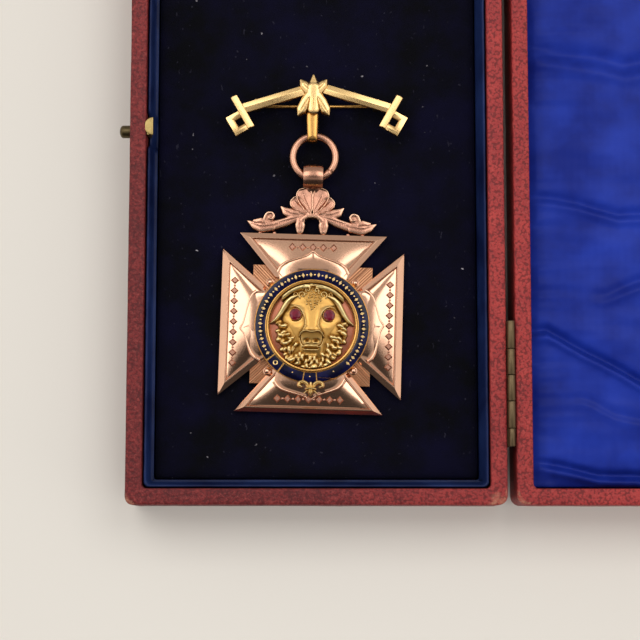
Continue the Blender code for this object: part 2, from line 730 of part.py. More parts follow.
def arm_body():
    levels = (
        (0.25, 0.2, 0.0),
        (0.0, 0.0, 0.25),
        (0.0, 0.0, EDGE_HEIGHT),
        (OUTER_BEVEL - 0.35, SIDE_BEVEL - 0.35, RIDGE_HEIGHT),
        (OUTER_BEVEL, SIDE_BEVEL, RIDGE_HEIGHT),
        (OUTER_BEVEL + 0.25, SIDE_BEVEL + 0.25, PANEL_HEIGHT),
        (OUTER_BEVEL + 2.2, SIDE_BEVEL + 1.6, PANEL_HEIGHT + PANEL_CROWN),
    )
    bm = bmesh.new()
    loft(bm, [arm_outline(*level) for level in levels])
    return bm


def bracket():
    """Raised ogee bracket at the arm's inner end: a rolled ridge round a shallow boss."""
    right = list(BRACKET_OUTLINE)
    left = [(-x, y) for x, y in reversed(right[1:])]
    outline = right + [(7.6, 8.5), (-7.6, 8.5)] + left
    bm = prism(outline, PLATE_HEIGHT, BRACKET_HEIGHT)
    bmesh.ops.recalc_face_normals(bm, faces=bm.faces)
    top = max(bm.faces, key=lambda face: face.calc_center_median().z)
    bmesh.ops.inset_region(bm, faces=[top], thickness=BRACKET_RIDGE, depth=0, use_even_offset=True)
    bmesh.ops.inset_region(bm, faces=[top], thickness=0.2, depth=-0.3, use_even_offset=True)
    return bm


def lozenge(x, y, half_w, half_h, low, high):
    """A lozenge with sloping faces, for the raised rows."""
    outline = ((x + half_w, y), (x, y + half_h), (x - half_w, y), (x, y - half_h))
    inner = [(x + (px - x) * LOZENGE_TOP, y + (py - y) * LOZENGE_TOP) for px, py in outline]
    bm = bmesh.new()
    loft(bm, [[(px, py, low) for px, py in outline], [(px, py, high) for px, py in inner]])
    return bm


def motif_row(count):
    """Lozenges in a row along the arm, in place of words."""
    middle = (count - 1) / 2
    top = PANEL_HEIGHT + PANEL_CROWN + 0.3
    return [
        lozenge((i - middle) * MOTIF_PITCH, MOTIF_LINE, 0.8, MOTIF_HEIGHT / 2, PANEL_HEIGHT - 0.1, top)
        for i in range(count)
    ]


def crest():
    wide = 17.0
    height_of = strokes_height(CREST_STROKES, mirror_x=True)
    bm = relief(height_of, (-wide, wide), (21.6, 35.4), CREST_STEP, CREST_BACK, CREST_BACK + CREST_THICKNESS)
    return largest_piece(bm)


def bail():
    """Barrel-shaped tube across the top, for the ring, on a short neck."""
    half = BAIL_LENGTH / 2
    profile = ((-half, BAIL_END_R), (-half * 0.6, BAIL_R - 0.08), (0, BAIL_R), (half * 0.6, BAIL_R - 0.08))
    profile += ((half, BAIL_END_R), (half, BAIL_BORE_R), (-half, BAIL_BORE_R))
    bm = bmesh.new()
    rings = [[(x, BAIL_Y + a, BAIL_R + b) for a, b in circle(r, 20)] for x, r in profile]
    loft(bm, rings, closed_ring=True)
    return bm


def cross_body(parent):
    arms = []
    for turn, count, off_x, off_y in ARM_MOTIFS:
        spin = Matrix.Rotation(math.radians(turn), 4, "Z")
        arm = new_object("arm", arm_body(), "rose_gold")
        raised = [new_object("bracket", bracket(), "rose_gold")]
        raised += [new_object("motif", bm, "rose_gold") for bm in motif_row(count)]
        combine(arm, raised, "UNION")
        arm.data.transform(Matrix.Translation((off_x * MM, off_y * MM, 0)) @ spin)
        arms.append(arm)
    seat = new_object(
        "seat", prism(circle(GARTER_R + 0.3, 48, MEDALLION_X, MEDALLION_Y), PLATE_HEIGHT, 9), "rose_gold"
    )
    for arm in arms:
        copy = seat.copy()
        copy.data = seat.data.copy()
        bpy.context.scene.collection.objects.link(copy)
        combine(arm, [copy], "DIFFERENCE")
    bpy.data.objects.remove(seat, do_unlink=True)
    half = PLATE_HALF
    plate = new_object("cross_body", box((-half, PLATE_Y - half, 0), (half, PLATE_Y + half, PLATE_HEIGHT)), "rose_gold")
    combine(plate, arms, "UNION")
    top_edge = CROSS_HALF
    crown = new_object("crest", crest(), "rose_gold")
    neck = prism(
        ((-NECK_HALF, 33.0), (NECK_HALF, 33.0), (NECK_HALF - 0.3, BAIL_Y - 1.8), (-NECK_HALF + 0.3, BAIL_Y - 1.8)),
        CREST_BACK,
        CREST_BACK + 2.0,
    )
    extras = [new_object("neck", neck, "rose_gold"), new_object("bail", bail(), "rose_gold")]
    for x in CREST_SEATS:
        block = box((x - 0.5, top_edge - 0.6, CREST_BACK + 0.1), (x + 0.5, top_edge + 1.4, CREST_BACK + 0.75))
        extras.append(new_object("solder", block, "rose_gold"))
    combine(crown, extras, "UNION")
    crown.data.transform(Matrix.Translation((CREST_X * MM, 0, 0)))
    combine(plate, [crown], "UNION")
    plate.parent = parent
    plate.data.materials.clear()
    plate.data.materials.append(material("rose_gold"))
    plate.data.shade_smooth()
    plate.data.set_sharp_from_angle(angle=math.radians(28))
    return plate


# Medallion


def sector(inner, outer, start, end, low, high):
    count = max(2, round(abs(end - start) / 9))
    angles = [math.radians(start + (end - start) * i / count) for i in range(count + 1)]
    outline = [(outer * math.cos(a), outer * math.sin(a)) for a in angles]
    outline += [(inner * math.cos(a), inner * math.sin(a)) for a in reversed(angles)]
    return prism(outline, low, high)


def garter_frame(parent):
    """Gold ring with a channel for each enamel field; the walls left between them are the strap's gold lines."""
    profile = (
        (GARTER_R, 0.0),
        (GARTER_R, GARTER_TOP - 0.2),
        (GARTER_R - 0.15, GARTER_TOP),
        (BAND_INNER_R - 0.1, GARTER_TOP),
        (BAND_INNER_R - 0.35, RIM_TOP),
        (DISC_R + 0.25, RIM_TOP),
        (DISC_R, RIM_TOP - 0.25),
        (DISC_R, 0.0),
    )
    frame = new_object("garter_frame", turned(profile, 48), "yellow_gold", smooth=35)
    fields = []
    for _, start, end in ENAMEL_FIELDS:
        bm = sector(BAND_INNER_R, BAND_OUTER_R, start, end, CHANNEL_FLOOR, 5)
        fields.append(new_object("field", bm, "yellow_gold"))
    combine(frame, fields, "DIFFERENCE")
    motifs = []
    for x, y, turn in band_motif_places():
        bm = lozenge(0, 0, 0.5, 0.72, CHANNEL_FLOOR - 0.2, ENAMEL_TOP + 0.12)
        bm.transform(Matrix.Translation((x, y, 0)) @ Matrix.Rotation(turn, 4, "Z"))
        motifs.append(new_object("motif", bm, "yellow_gold"))
    combine(frame, motifs, "UNION")
    frame.parent = parent
    return frame


def band_motif_places():
    """Even places along the long enamel field, in place of a motto."""
    _, start, end = ENAMEL_FIELDS[0]
    radius = (BAND_OUTER_R + BAND_INNER_R) / 2
    for i in range(BAND_MOTIFS):
        angle = math.radians(start + (end - start) * (i + 0.5) / BAND_MOTIFS)
        yield radius * math.cos(angle), radius * math.sin(angle), angle - math.pi / 2


def enamel(parent):
    for name, start, end in ENAMEL_FIELDS:
        clear = math.degrees(METAL_GAP / BAND_INNER_R)
        bm = sector(
            BAND_INNER_R + METAL_GAP,
            BAND_OUTER_R - METAL_GAP,
            start + clear,
            end - clear,
            CHANNEL_FLOOR + METAL_GAP,
            ENAMEL_TOP,
        )
        field = new_object(name, bm, "navy_enamel")
        if name == "enamel_band":
            holes = []
            for x, y, turn in band_motif_places():
                hole = prism(((0.65, 0), (0, 0.9), (-0.65, 0), (0, -0.9)), 0, 5)
                hole.transform(Matrix.Translation((x, y, 0)) @ Matrix.Rotation(turn, 4, "Z"))
                holes.append(new_object("hole", hole, "navy_enamel"))
            combine(field, holes, "DIFFERENCE")
        field.parent = parent


def centre_disc(parent):
    bm = prism(circle(DISC_R - METAL_GAP, 48), 0, DISC_THICKNESS)
    return new_object("centre_disc", bm, "rose_gold", smooth=40, parent=parent)


def head_height(x, y):
    strokes = list(HEAD_STROKES)
    for rx, ry, tx, ty, half_width in BEARD_LOCKS:
        strokes.append((((rx, ry), (tx, ty)), (half_width, 0.3), (2.1, 0.8), 2.0))
    height = strokes_height(strokes)(x, y)
    for side in (-1, 1):
        reach = np.hypot(x - side * EYE_X, y - EYE_Y)
        bowl = np.clip((SOCKET_R + 0.35 - reach) / 0.35, 0, 1)
        height = height * (1 - bowl) + np.minimum(height, EYE_SEAT - 0.35) * bowl
    return np.minimum(height, (HEAD_R - np.hypot(x, y)) * 4)


def buffalo_head(parent):
    back = DISC_THICKNESS + METAL_GAP
    bm = relief(head_height, (-10.9, 10.9), (-11.2, 10.9), HEAD_STEP, back, back + 0.2)
    return new_object("buffalo_head", largest_piece(bm), "yellow_gold", smooth=60, parent=parent)


def cut_stone(name, x, parent):
    """Round stone: table, eight main crown facets between star and girdle facets, and a pointed back."""
    sides = 16
    seat = DISC_THICKNESS + METAL_GAP + EYE_SEAT
    levels = ((0.25, -0.15), (0.97, 0.42), (1.0, 0.5), (1.0, 0.62))
    rings = [[(EYE_R * r * px, EYE_R * r * py, seat + z) for px, py in circle(1, sides)] for r, z in levels]
    bm = bmesh.new()
    made = loft(bm, rings)
    girdle = made[-1]
    cap = next(f for f in bm.faces if set(f.verts) == set(girdle))
    bm.faces.remove(cap)
    turn = math.pi / 8
    table = [
        bm.verts.new((EYE_R * 0.58 * math.cos(turn * 2 * i), EYE_R * 0.58 * math.sin(turn * 2 * i), seat + 1.05))
        for i in range(8)
    ]
    for i in range(8):
        j = (i + 1) % 8
        left, middle, right = girdle[2 * i], girdle[2 * i + 1], girdle[(2 * i + 2) % sides]
        bm.faces.new((left, middle, table[i]))
        bm.faces.new((middle, right, table[j]))
        bm.faces.new((middle, table[j], table[i]))
    bm.faces.new(table)
    bm.transform(Matrix.Translation((x, EYE_Y, 0)))
    return new_object(name, bm, "red_stone", parent=parent)


def studs(parent):
    for number, (x, y) in enumerate(STUD_SEATS, 1):
        low = PLATE_HEIGHT + METAL_GAP
        profile = ((STUD_R * 0.8, low), (STUD_R * 0.8, low + 0.25))
        profile += ((STUD_R, low + 0.5), (STUD_R * 0.85, low + 0.85), (STUD_R * 0.4, low + STUD_TOP))
        bm = turned(profile, 12, closed=False)
        bm.transform(Matrix.Translation((x, y, 0)))
        new_object(f"stud_{number}", bm, "rose_gold", smooth=60, parent=parent)


def strap_finial(parent):
    """Fleur-de-lis on the strap's end: it rests on the ring's edge and stands out over the bottom bracket."""
    back = GARTER_TOP + METAL_GAP
    bm = relief(strokes_height(FINIAL_STROKES), (-4.2, 4.2), (-3.8, 2.3), FINIAL_STEP, back, back + 0.3)
    bm = largest_piece(bm)
    bm.transform(Matrix.Translation((FINIAL_X, FINIAL_Y, 0)))
    return new_object("strap_finial", bm, "yellow_gold", smooth=60, parent=parent)


def suspension_ring():
    bm = bmesh.new()
    rings = []
    for i in range(RING_STEPS):
        angle = 2 * math.pi * i / RING_STEPS
        ring = []
        for a, b in circle(RING_WIRE_R, 8):
            reach = RING_MEAN_R + a
            ring.append((RING_X + reach * math.cos(angle), RING_Y + reach * math.sin(angle), RING_Z + b))
        rings.append(ring)
    loft(bm, rings, closed_ring=True)
    return new_object("suspension_ring", bm, "rose_gold", smooth=60)


# Brooch


def knot(side):
    """Square strap knot with a hole, and the strip that crosses over it and runs on up."""
    turn = Matrix.Rotation(math.radians(-side * KNOT_TURN), 4, "Z")
    place = Matrix.Translation((side * KNOT_X, KNOT_Y, 0)) @ turn
    half, hole = KNOT_SIDE / 2, KNOT_SIDE / 2 - STRIP_WIDTH
    bm = bmesh.new()
    square = ((1, 1), (-1, 1), (-1, -1), (1, -1))
    levels = ((half, 0), (half, BAR_THICKNESS - 0.2), (half - 0.2, BAR_THICKNESS))
    levels += ((hole + 0.2, BAR_THICKNESS), (hole, BAR_THICKNESS - 0.2), (hole, 0))
    loft(bm, [[(sx * r, sy * r, BAR_BACK + z) for sx, sy in square] for r, z in levels], closed_ring=True)
    frame = new_object("knot", bm, "yellow_gold")
    low_x, high_x = sorted((-side * half, -side * hole))
    strip = box((low_x, -half, BAR_BACK + 0.2), (high_x, -half + STRIP_LENGTH, BAR_BACK + BAR_THICKNESS + CROSSING_RISE))
    over = new_object("strip", strip, "yellow_gold")
    for piece in (frame, over):
        piece.data.transform(Matrix.Scale(MM, 4) @ place @ Matrix.Scale(1 / MM, 4))
    return combine(frame, [over], "UNION")


def gable_bar():
    end_x, end_y = BAR_LOW_END
    end_x += 1.0
    outline = ((-end_x, end_y), (0, BAR_PEAK_Y), (end_x, end_y))
    outline += ((end_x, end_y + BAR_BREADTH), (0, BAR_PEAK_Y + BAR_BREADTH), (-end_x, end_y + BAR_BREADTH))
    return prism(outline, BAR_BACK, BAR_BACK + BAR_THICKNESS)


def strap_loop():
    """Closed band, seen from above as a tapering strap, that holds the ring's far side."""
    radius = LOOP_OUTER_HEIGHT / 2
    middle_z = RING_Z
    stations = []
    for i in range(9):
        angle = math.pi / 2 + math.pi * i / 8
        stations.append((LOOP_NEAR_Y + radius, math.cos(angle), math.sin(angle)))
    for i in range(5):
        angle = -math.pi / 2 + math.pi * i / 4
        stations.append((LOOP_FAR_Y - radius, math.cos(angle), math.sin(angle)))
    rings = []
    for centre_y, cosine, sine in stations:
        section = []
        for reach, edge in ((radius, -1), (radius, 1), (radius - LOOP_BAND, 1), (radius - LOOP_BAND, -1)):
            y = centre_y + reach * cosine
            blend = (centre_y - LOOP_NEAR_Y) / (LOOP_FAR_Y - LOOP_NEAR_Y)
            half = (LOOP_WIDTH_NEAR + (LOOP_WIDTH_FAR - LOOP_WIDTH_NEAR) * blend) / 2
            section.append((LOOP_X + edge * half, y, middle_z + reach * sine))
        rings.append(section)
    bm = bmesh.new()
    loft(bm, rings, closed_ring=True)
    return bm


def brooch_bar():
    bar = new_object("brooch_bar", gable_bar(), "yellow_gold")
    combine(bar, [knot(-1), knot(1)], "UNION")
    boss = largest_piece(
        relief(strokes_height(BOSS_STROKES), (-5.2, 5.2), (4.0, 16.0), BOSS_STEP, BAR_BACK, BAR_BACK + BOSS_LIFT)
    )
    boss.transform(Matrix.Translation((BOSS_X, 0, 0)))
    extras = [new_object("boss", boss, "yellow_gold"), new_object("loop", strap_loop(), "yellow_gold")]
    for side in (-1, 1):
        for edge in (-1, 1):
            near = PIN_Y + edge * (PIN_WIRE_R + 0.15)
            low_y, high_y = sorted((near, near + edge * 0.6))
            ear = box(
                (side * EAR_X - 0.9, low_y, PIN_Z - PIN_WIRE_R - 0.2), (side * EAR_X + 0.9, high_y, BAR_BACK + 0.4)
            )
            extras.append(new_object("ear", ear, "yellow_gold"))
    combine(bar, extras, "UNION")
    bar.data.materials.clear()
    bar.data.materials.append(material("yellow_gold"))
    bar.data.shade_smooth()
    bar.data.set_sharp_from_angle(angle=math.radians(28))
    return bar


def brooch_pin():
    """Plain pin wire behind the bar, between its two pairs of ears."""
    bm = bmesh.new()
    stations = ((-PIN_HALF, 0.6), (-PIN_HALF + 2.0, 1.0), (PIN_HALF, 1.0))
    loft(bm, [[(x, PIN_Y + a * k, PIN_Z + b * k) for a, b in circle(PIN_WIRE_R, 8)] for x, k in stations])
    return new_object("brooch_pin", bm, "yellow_gold", smooth=50)


def main():
    clear_scene()
    case_shell("case_base", 0.0, cut_notch=True)
    silk_edge()
    velvet_pad()
    case_shell("lid_shell", LID_X)
    lid_lining()
    hinge("near", flip=False)
    hinge("far", flip=True)
    catch()
    catch_keeper()
    medal = empty("medal_centre", MEDAL_X, MEDAL_Y, MEDAL_Z, MEDAL_TURN)
    medallion = empty("medallion_centre", MEDALLION_X, MEDALLION_Y, MEDALLION_Z)
    medallion.parent = medal
    cross_body(medal)
    garter_frame(medallion)
    enamel(medallion)
    centre_disc(medallion)
    buffalo_head(medallion)
    cut_stone("eye_left", -EYE_X, medallion)
    cut_stone("eye_right", EYE_X, medallion)
    studs(medal)
    strap_finial(medallion)
    suspension_ring()
    brooch_bar()
    brooch_pin()
    empty("lid_hinge_axis", HINGE_X, 0.0, HINGE_Z)
    empty("catch_axis", -CASE_WIDTH / 2, CATCH_Y, CATCH_Z)


main()
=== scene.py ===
# Fraternal medal lying in its open leather presentation case: fine shapes, finishes, light and camera.
# Pieces are drawn in millimetres and become metres when they are made.

import json
import math
import random

import bmesh
import bpy
import numpy as np
from mathutils import Matrix, Vector, noise


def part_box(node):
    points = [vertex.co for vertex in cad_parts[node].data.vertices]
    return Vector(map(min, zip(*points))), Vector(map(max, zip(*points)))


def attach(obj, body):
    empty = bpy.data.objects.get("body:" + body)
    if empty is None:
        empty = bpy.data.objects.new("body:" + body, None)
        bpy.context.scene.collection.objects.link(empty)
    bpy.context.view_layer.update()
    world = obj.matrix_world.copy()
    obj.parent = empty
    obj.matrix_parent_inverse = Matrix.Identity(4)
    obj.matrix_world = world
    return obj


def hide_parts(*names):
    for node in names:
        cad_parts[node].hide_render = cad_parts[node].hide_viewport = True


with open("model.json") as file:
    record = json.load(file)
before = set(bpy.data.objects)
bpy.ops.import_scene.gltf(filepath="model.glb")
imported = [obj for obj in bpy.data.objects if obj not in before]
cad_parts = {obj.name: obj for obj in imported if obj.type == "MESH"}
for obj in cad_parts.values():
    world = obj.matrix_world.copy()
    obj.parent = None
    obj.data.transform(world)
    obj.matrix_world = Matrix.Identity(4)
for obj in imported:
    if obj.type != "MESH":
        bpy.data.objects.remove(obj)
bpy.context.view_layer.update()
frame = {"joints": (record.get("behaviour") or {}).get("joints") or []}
mm = 0.001
print("frame loaded")


# Camera and light first

cameraSetup = {
    "place": (2.1, -100.4, 450.0),   # mm, above the near edge of the case
    "tilt": 7.0,                     # degrees from straight down, towards the far edge
    "swing": -0.16,                  # degrees to the left
    "roll": 0.05,                    # degrees round its own axis
    "lens": 98.8,                    # mm
}


def addObject(name, data):
    made = bpy.data.objects.new(name, data)
    bpy.context.scene.collection.objects.link(made)
    return made


def makeCamera():
    data = bpy.data.cameras.new("camera")
    data.lens = cameraSetup["lens"]
    data.clip_start, data.clip_end = 0.01, 20.0
    camera = addObject("camera", data)
    camera.location = Vector(cameraSetup["place"]) * mm
    tilt, swing = math.radians(cameraSetup["tilt"]), math.radians(cameraSetup["swing"])
    ahead = Vector((math.sin(swing), math.sin(tilt) * math.cos(swing), -math.cos(tilt) * math.cos(swing)))
    right = ahead.cross(Vector((0, 1, 0))).normalized()
    upright = Matrix((right, right.cross(ahead), -ahead)).transposed()
    spin = Matrix.Rotation(math.radians(cameraSetup["roll"]), 3, "Z")
    camera.rotation_euler = (upright @ spin).to_euler()
    bpy.context.scene.camera = camera


# Two soft boxes hang over the case with a gap for the camera; the room is pale but dim on the near side
softBoxes = [
    # name, middle x and y, width, length, height (mm), watts
    ("softLeft", -235, 181, 350, 380, 520, 0.95),
    ("softRight", 235, 190, 350, 390, 520, 0.95),
]
# A weaker fill from the near side lights leather and cloth, and doesn't show in the metal
nearFill = {"watts": 1.4, "size": 500, "place": (0, -420, 480), "aim": (0, -90, 0)}
# Brightness overhead, at the sides, on the near side and in the dark flag, with their soft edges
room = {
    "ceiling": 0.47, "sides": 1.03, "sideEdge": (0.3, 0.8), "near": 0.09, "nearEdge": (-0.58, -0.49),
    "flag": 0.1, "flagWay": (0.0, -0.11, 0.994), "flagEdge": (0.968, 0.991),
}


def fromHex(code):
    channels = [int(code[i:i + 2], 16) / 255 for i in (1, 3, 5)]
    linear = [c / 12.92 if c <= 0.04045 else ((c + 0.055) / 1.055) ** 2.4 for c in channels]
    return (*linear, 1.0)


def addNode(tree, kind, settings=None, links=None):
    # Settings go to sockets by name or number, or else to the node itself
    node = tree.nodes.new("ShaderNode" + kind)
    for name, value in (settings or {}).items():
        if isinstance(name, int) or name in node.inputs:
            node.inputs[name].default_value = value
        else:
            setattr(node, name, value)
    for name, source in (links or {}).items():
        tree.links.new(source, node.inputs[name])
    return node


def makeLights():
    for name, x, y, width, length, height, watts in softBoxes:
        data = bpy.data.lights.new(name, "AREA")
        data.shape = "RECTANGLE"
        data.size, data.size_y = width * mm, length * mm
        data.energy = watts
        data.color = (1.0, 0.985, 0.965)
        light = addObject(name, data)
        light.location = Vector((x, y, height)) * mm
        light.visible_camera = False
    data = bpy.data.lights.new("fillNear", "AREA")
    data.size, data.energy = nearFill["size"] * mm, nearFill["watts"]
    fill = addObject("fillNear", data)
    fill.location = Vector(nearFill["place"]) * mm
    fill.rotation_euler = (fill.location - Vector(nearFill["aim"]) * mm).to_track_quat("Z", "Y").to_euler()
    fill.visible_camera = fill.visible_glossy = False
    world = bpy.data.worlds.new("studio")
    bpy.context.scene.world = world
    world.use_nodes = True
    tree = world.node_tree
    tree.nodes.clear()
    way = addNode(tree, "TexCoord").outputs["Generated"]
    apart = addNode(tree, "SeparateXYZ", links={0: way})
    nearShade = addNode(tree, "MapRange", {
        "interpolation_type": "SMOOTHSTEP", "To Min": room["near"],
        "From Min": room["nearEdge"][0], "From Max": room["nearEdge"][1],
    }, {"Value": apart.outputs["Y"]})
    aside = addNode(tree, "Math", {"operation": "ABSOLUTE"}, {0: apart.outputs["X"]})
    sideLift = addNode(tree, "MapRange", {
        "From Min": room["sideEdge"][0], "From Max": room["sideEdge"][1],
        "To Min": room["ceiling"], "To Max": room["sides"],
    }, {"Value": aside.outputs[0]})
    # A dark flag on the ceiling, where a photographer would stand
    towards = addNode(tree, "VectorMath", {"operation": "DOT_PRODUCT", 1: room["flagWay"]}, {0: way})
    flag = addNode(tree, "MapRange", {
        "interpolation_type": "SMOOTHSTEP", "To Min": 1.0, "To Max": room["flag"],
        "From Min": room["flagEdge"][0], "From Max": room["flagEdge"][1],
    }, {"Value": towards.outputs["Value"]})
    dimmed = addNode(tree, "Math", {"operation": "MULTIPLY"}, {0: nearShade.outputs[0], 1: flag.outputs[0]})
    pale = addNode(tree, "Math", {"operation": "MULTIPLY"}, {0: dimmed.outputs[0], 1: sideLift.outputs[0]})
    background = addNode(tree, "Background", {"Color": fromHex("#fffaf4")}, {"Strength": pale.outputs[0]})
    addNode(tree, "OutputWorld", links={"Surface": background.outputs[0]})


makeCamera()
makeLights()
bpy.context.scene.view_settings.view_transform = "Standard"
print("camera and light made")


# Materials: each starts from what the real thing is and how its surface was made

def startMaterial(name):
    made = bpy.data.materials.new(name)
    made.use_nodes = True
    tree = made.node_tree
    tree.nodes.clear()
    output = addNode(tree, "OutputMaterial")
    shader = addNode(tree, "BsdfPrincipled")
    tree.links.new(shader.outputs["BSDF"], output.inputs["Surface"])
    where = addNode(tree, "TexCoord").outputs["Object"]
    return made, tree, shader, where


def setShader(tree, shader, values, links):
    for name, value in values.items():
        shader.inputs[name].default_value = value
    for name, source in links.items():
        tree.links.new(source, shader.inputs[name])


def perMm(size):
    # Noise and Voronoi scale for one feature each "size" millimetres
    return 1 / (size * mm)


def cloudedTone(tree, where, cloud, span, deep, light):
    # Two tones in soft clouds; the span is the part of the noise over which one turns into the other
    noisy = addNode(tree, "TexNoise", cloud, {"Vector": where})
    share = addNode(tree, "MapRange", {"From Min": span[0], "From Max": span[1]},
                    {"Value": noisy.outputs["Fac"]})
    return addNode(tree, "Mix", {"data_type": "RGBA", 6: fromHex(deep), 7: fromHex(light)},
                   {0: share.outputs[0]})


def goldMaterial(name, look):
    # Gold alloy: the polished face, a bloom where the cloth can't reach it, which on the brooch's strap
    # sides is painted shade, and hairline rubbing marks
    made, tree, shader, where = startMaterial(name)
    hollow = addNode(tree, "Attribute", {"attribute_name": "hollow"})
    cloud = addNode(tree, "TexNoise", {"Scale": perMm(look["cloud"]), "Detail": 5.0}, {"Vector": where})
    patchy = addNode(tree, "Math", {"operation": "MULTIPLY_ADD", 1: look["patch"], 2: -look["patch"] * 0.5},
                     {0: cloud.outputs["Fac"]})
    dull = addNode(tree, "Math", {"operation": "ADD", "use_clamp": True},
                   {0: hollow.outputs["Fac"], 1: patchy.outputs[0]})
    tone = addNode(tree, "Mix", {"data_type": "RGBA", 6: fromHex(look["face"]), 7: fromHex(look["bloom"])},
                   {0: dull.outputs[0]})
    # Painted highlight: where a piece marks its high places, they are painted in a paler gold
    if "highlightTone" in look:
        high = addNode(tree, "Attribute", {"attribute_name": "rubbed"})
        tone = addNode(tree, "Mix", {"data_type": "RGBA", 7: fromHex(look["highlightTone"])},
                       {0: high.outputs["Fac"], 6: tone.outputs[2]})
    rough = addNode(tree, "MapRange", {"To Min": look["roughness"], "To Max": look["dull"]},
                    {"Value": dull.outputs[0]})
    # The rubbing marks are long scratches that run one way
    stretch = addNode(tree, "Mapping", {"Scale": (1.0, 0.06, 1.0), "Rotation": (0, 0, 0.5)}, {0: where})
    rub = addNode(tree, "TexNoise", {"Scale": perMm(look["rub"]), "Detail": 3.0, "Roughness": 0.6},
                  {"Vector": stretch.outputs[0]})
    grain = addNode(tree, "TexNoise", {"Scale": perMm(look["grain"]), "Detail": 4.0}, {"Vector": where})
    mixed = addNode(tree, "Mix", {0: look["grainShare"]}, {2: rub.outputs["Fac"], 3: grain.outputs["Fac"]})
    bump = addNode(tree, "Bump", {"Strength": look["bump"], "Distance": 0.02 * mm},
                   {"Height": mixed.outputs[0]})
    setShader(tree, shader, {"Metallic": 1.0},
              {"Base Color": tone.outputs[2], "Roughness": rough.outputs[0], "Normal": bump.outputs[0]})
    return made


# Rose gold, 9 carat, rolled and polished: copper makes it pink, and its hollows bloom brown
roseGold = goldMaterial("roseGoldPolished", {
    "face": "#eab99b", "bloom": "#8a553c", "roughness": 0.12, "dull": 0.34,
    "cloud": 4.0, "patch": 0.25, "rub": 0.12, "grain": 0.3, "grainShare": 0.3, "bump": 0.12,
})
# The same alloy pickled and pierced by hand: satin, with the chasing tool's grain, and its high places
# painted paler as a highlight
roseGoldChased = goldMaterial("roseGoldChased", {
    "face": "#c4917a", "bloom": "#84503c", "highlightTone": "#f2c4a4", "roughness": 0.27, "dull": 0.42,
    "cloud": 2.5, "patch": 0.3, "rub": 0.12, "grain": 0.2, "grainShare": 0.7, "bump": 0.12,
})
# The plate's corners are hatched with a graver, so they stay matt and orange between the polished arms
roseGoldHatched = goldMaterial("roseGoldHatched", {
    "face": "#bd8a68", "bloom": "#7c4e38", "roughness": 0.36, "dull": 0.5,
    "cloud": 2.0, "patch": 0.3, "rub": 0.1, "grain": 0.15, "grainShare": 0.6, "bump": 0.4,
})
# The disc behind the head: the same alloy left unpolished since, brown and finely scratched
roseGoldDisc = goldMaterial("roseGoldScratched", {
    "face": "#9a614c", "bloom": "#5a3424", "roughness": 0.34, "dull": 0.5,
    "cloud": 1.2, "patch": 0.8, "rub": 0.08, "grain": 0.2, "grainShare": 0.2, "bump": 0.6,
})
# The ring is drawn wire, rubbed dull by the loops that hang in it
roseGoldWire = goldMaterial("roseGoldDrawn", {
    "face": "#c6937a", "bloom": "#7a4a34", "roughness": 0.24, "dull": 0.4,
    "cloud": 3.0, "patch": 0.3, "rub": 0.1, "grain": 0.3, "grainShare": 0.3, "bump": 0.2,
})
# Yellow gold, 18 carat, cast and chased: the high places painted paler as a highlight, ochre in the fur
yellowGold = goldMaterial("yellowGoldChased", {
    "face": "#cd9f58", "bloom": "#7e5418", "highlightTone": "#fbe2a2", "roughness": 0.34, "dull": 0.55,
    "cloud": 3.0, "patch": 0.2, "rub": 0.1, "grain": 0.18, "grainShare": 0.7, "bump": 0.25,
})
yellowGoldBright = goldMaterial("yellowGoldPolished", {
    "face": "#cc9a56", "bloom": "#7c5424", "roughness": 0.26, "dull": 0.4,
    "cloud": 3.0, "patch": 0.2, "rub": 0.1, "grain": 0.25, "grainShare": 0.4, "bump": 0.15,
})
# The brooch's straps were rolled flat and matted, so they are softer; their paler gold is a painted
# highlight, a lit copy of the yellow gold
yellowGoldMatted = goldMaterial("yellowGoldMatted", {
    "face": "#f3cd8e", "bloom": "#a5743c", "roughness": 0.27, "dull": 0.42,
    "cloud": 2.0, "patch": 0.35, "rub": 0.1, "grain": 0.2, "grainShare": 0.5, "bump": 0.3,
})
# Old brass: the lacquer is gone from the hinges, the lid rubs the hook clean and the button has blackened
oldBrass = goldMaterial("brassTarnished", {
    "face": "#6a5a44", "bloom": "#33281a", "roughness": 0.42, "dull": 0.6,
    "cloud": 1.6, "patch": 1.1, "rub": 0.1, "grain": 0.2, "grainShare": 0.7, "bump": 0.6,
})
rubbedBrass = goldMaterial("brassRubbed", {
    "face": "#a8925e", "bloom": "#5c4828", "roughness": 0.4, "dull": 0.55,
    "cloud": 1.0, "patch": 0.7, "rub": 0.1, "grain": 0.2, "grainShare": 0.6, "bump": 0.5,
})
darkBrass = goldMaterial("brassBlackened", {
    "face": "#5c5038", "bloom": "#211b14", "roughness": 0.4, "dull": 0.6,
    "cloud": 1.2, "patch": 0.9, "rub": 0.1, "grain": 0.2, "grainShare": 0.6, "bump": 0.5,
})


def makeEnamel():
    # Vitreous enamel fired into a channel and stoned level: deep navy glass, a little violet where thin
    made, tree, shader, where = startMaterial("enamelFired")
    colour = cloudedTone(tree, where, {"Scale": perMm(3.0), "Detail": 2.0}, (0.4, 0.7),
                         "#05051c", "#11113f")
    ripple = addNode(tree, "TexNoise", {"Scale": perMm(0.8), "Detail": 1.0}, {"Vector": where})
    bump = addNode(tree, "Bump", {"Strength": 0.15, "Distance": 0.03 * mm},
                   {"Height": ripple.outputs["Fac"]})
    setShader(tree, shader, {"Roughness": 0.14, "IOR": 1.5, "Specular IOR Level": 0.25},
              {"Base Color": colour.outputs[2], "Normal": bump.outputs[0]})
    return made


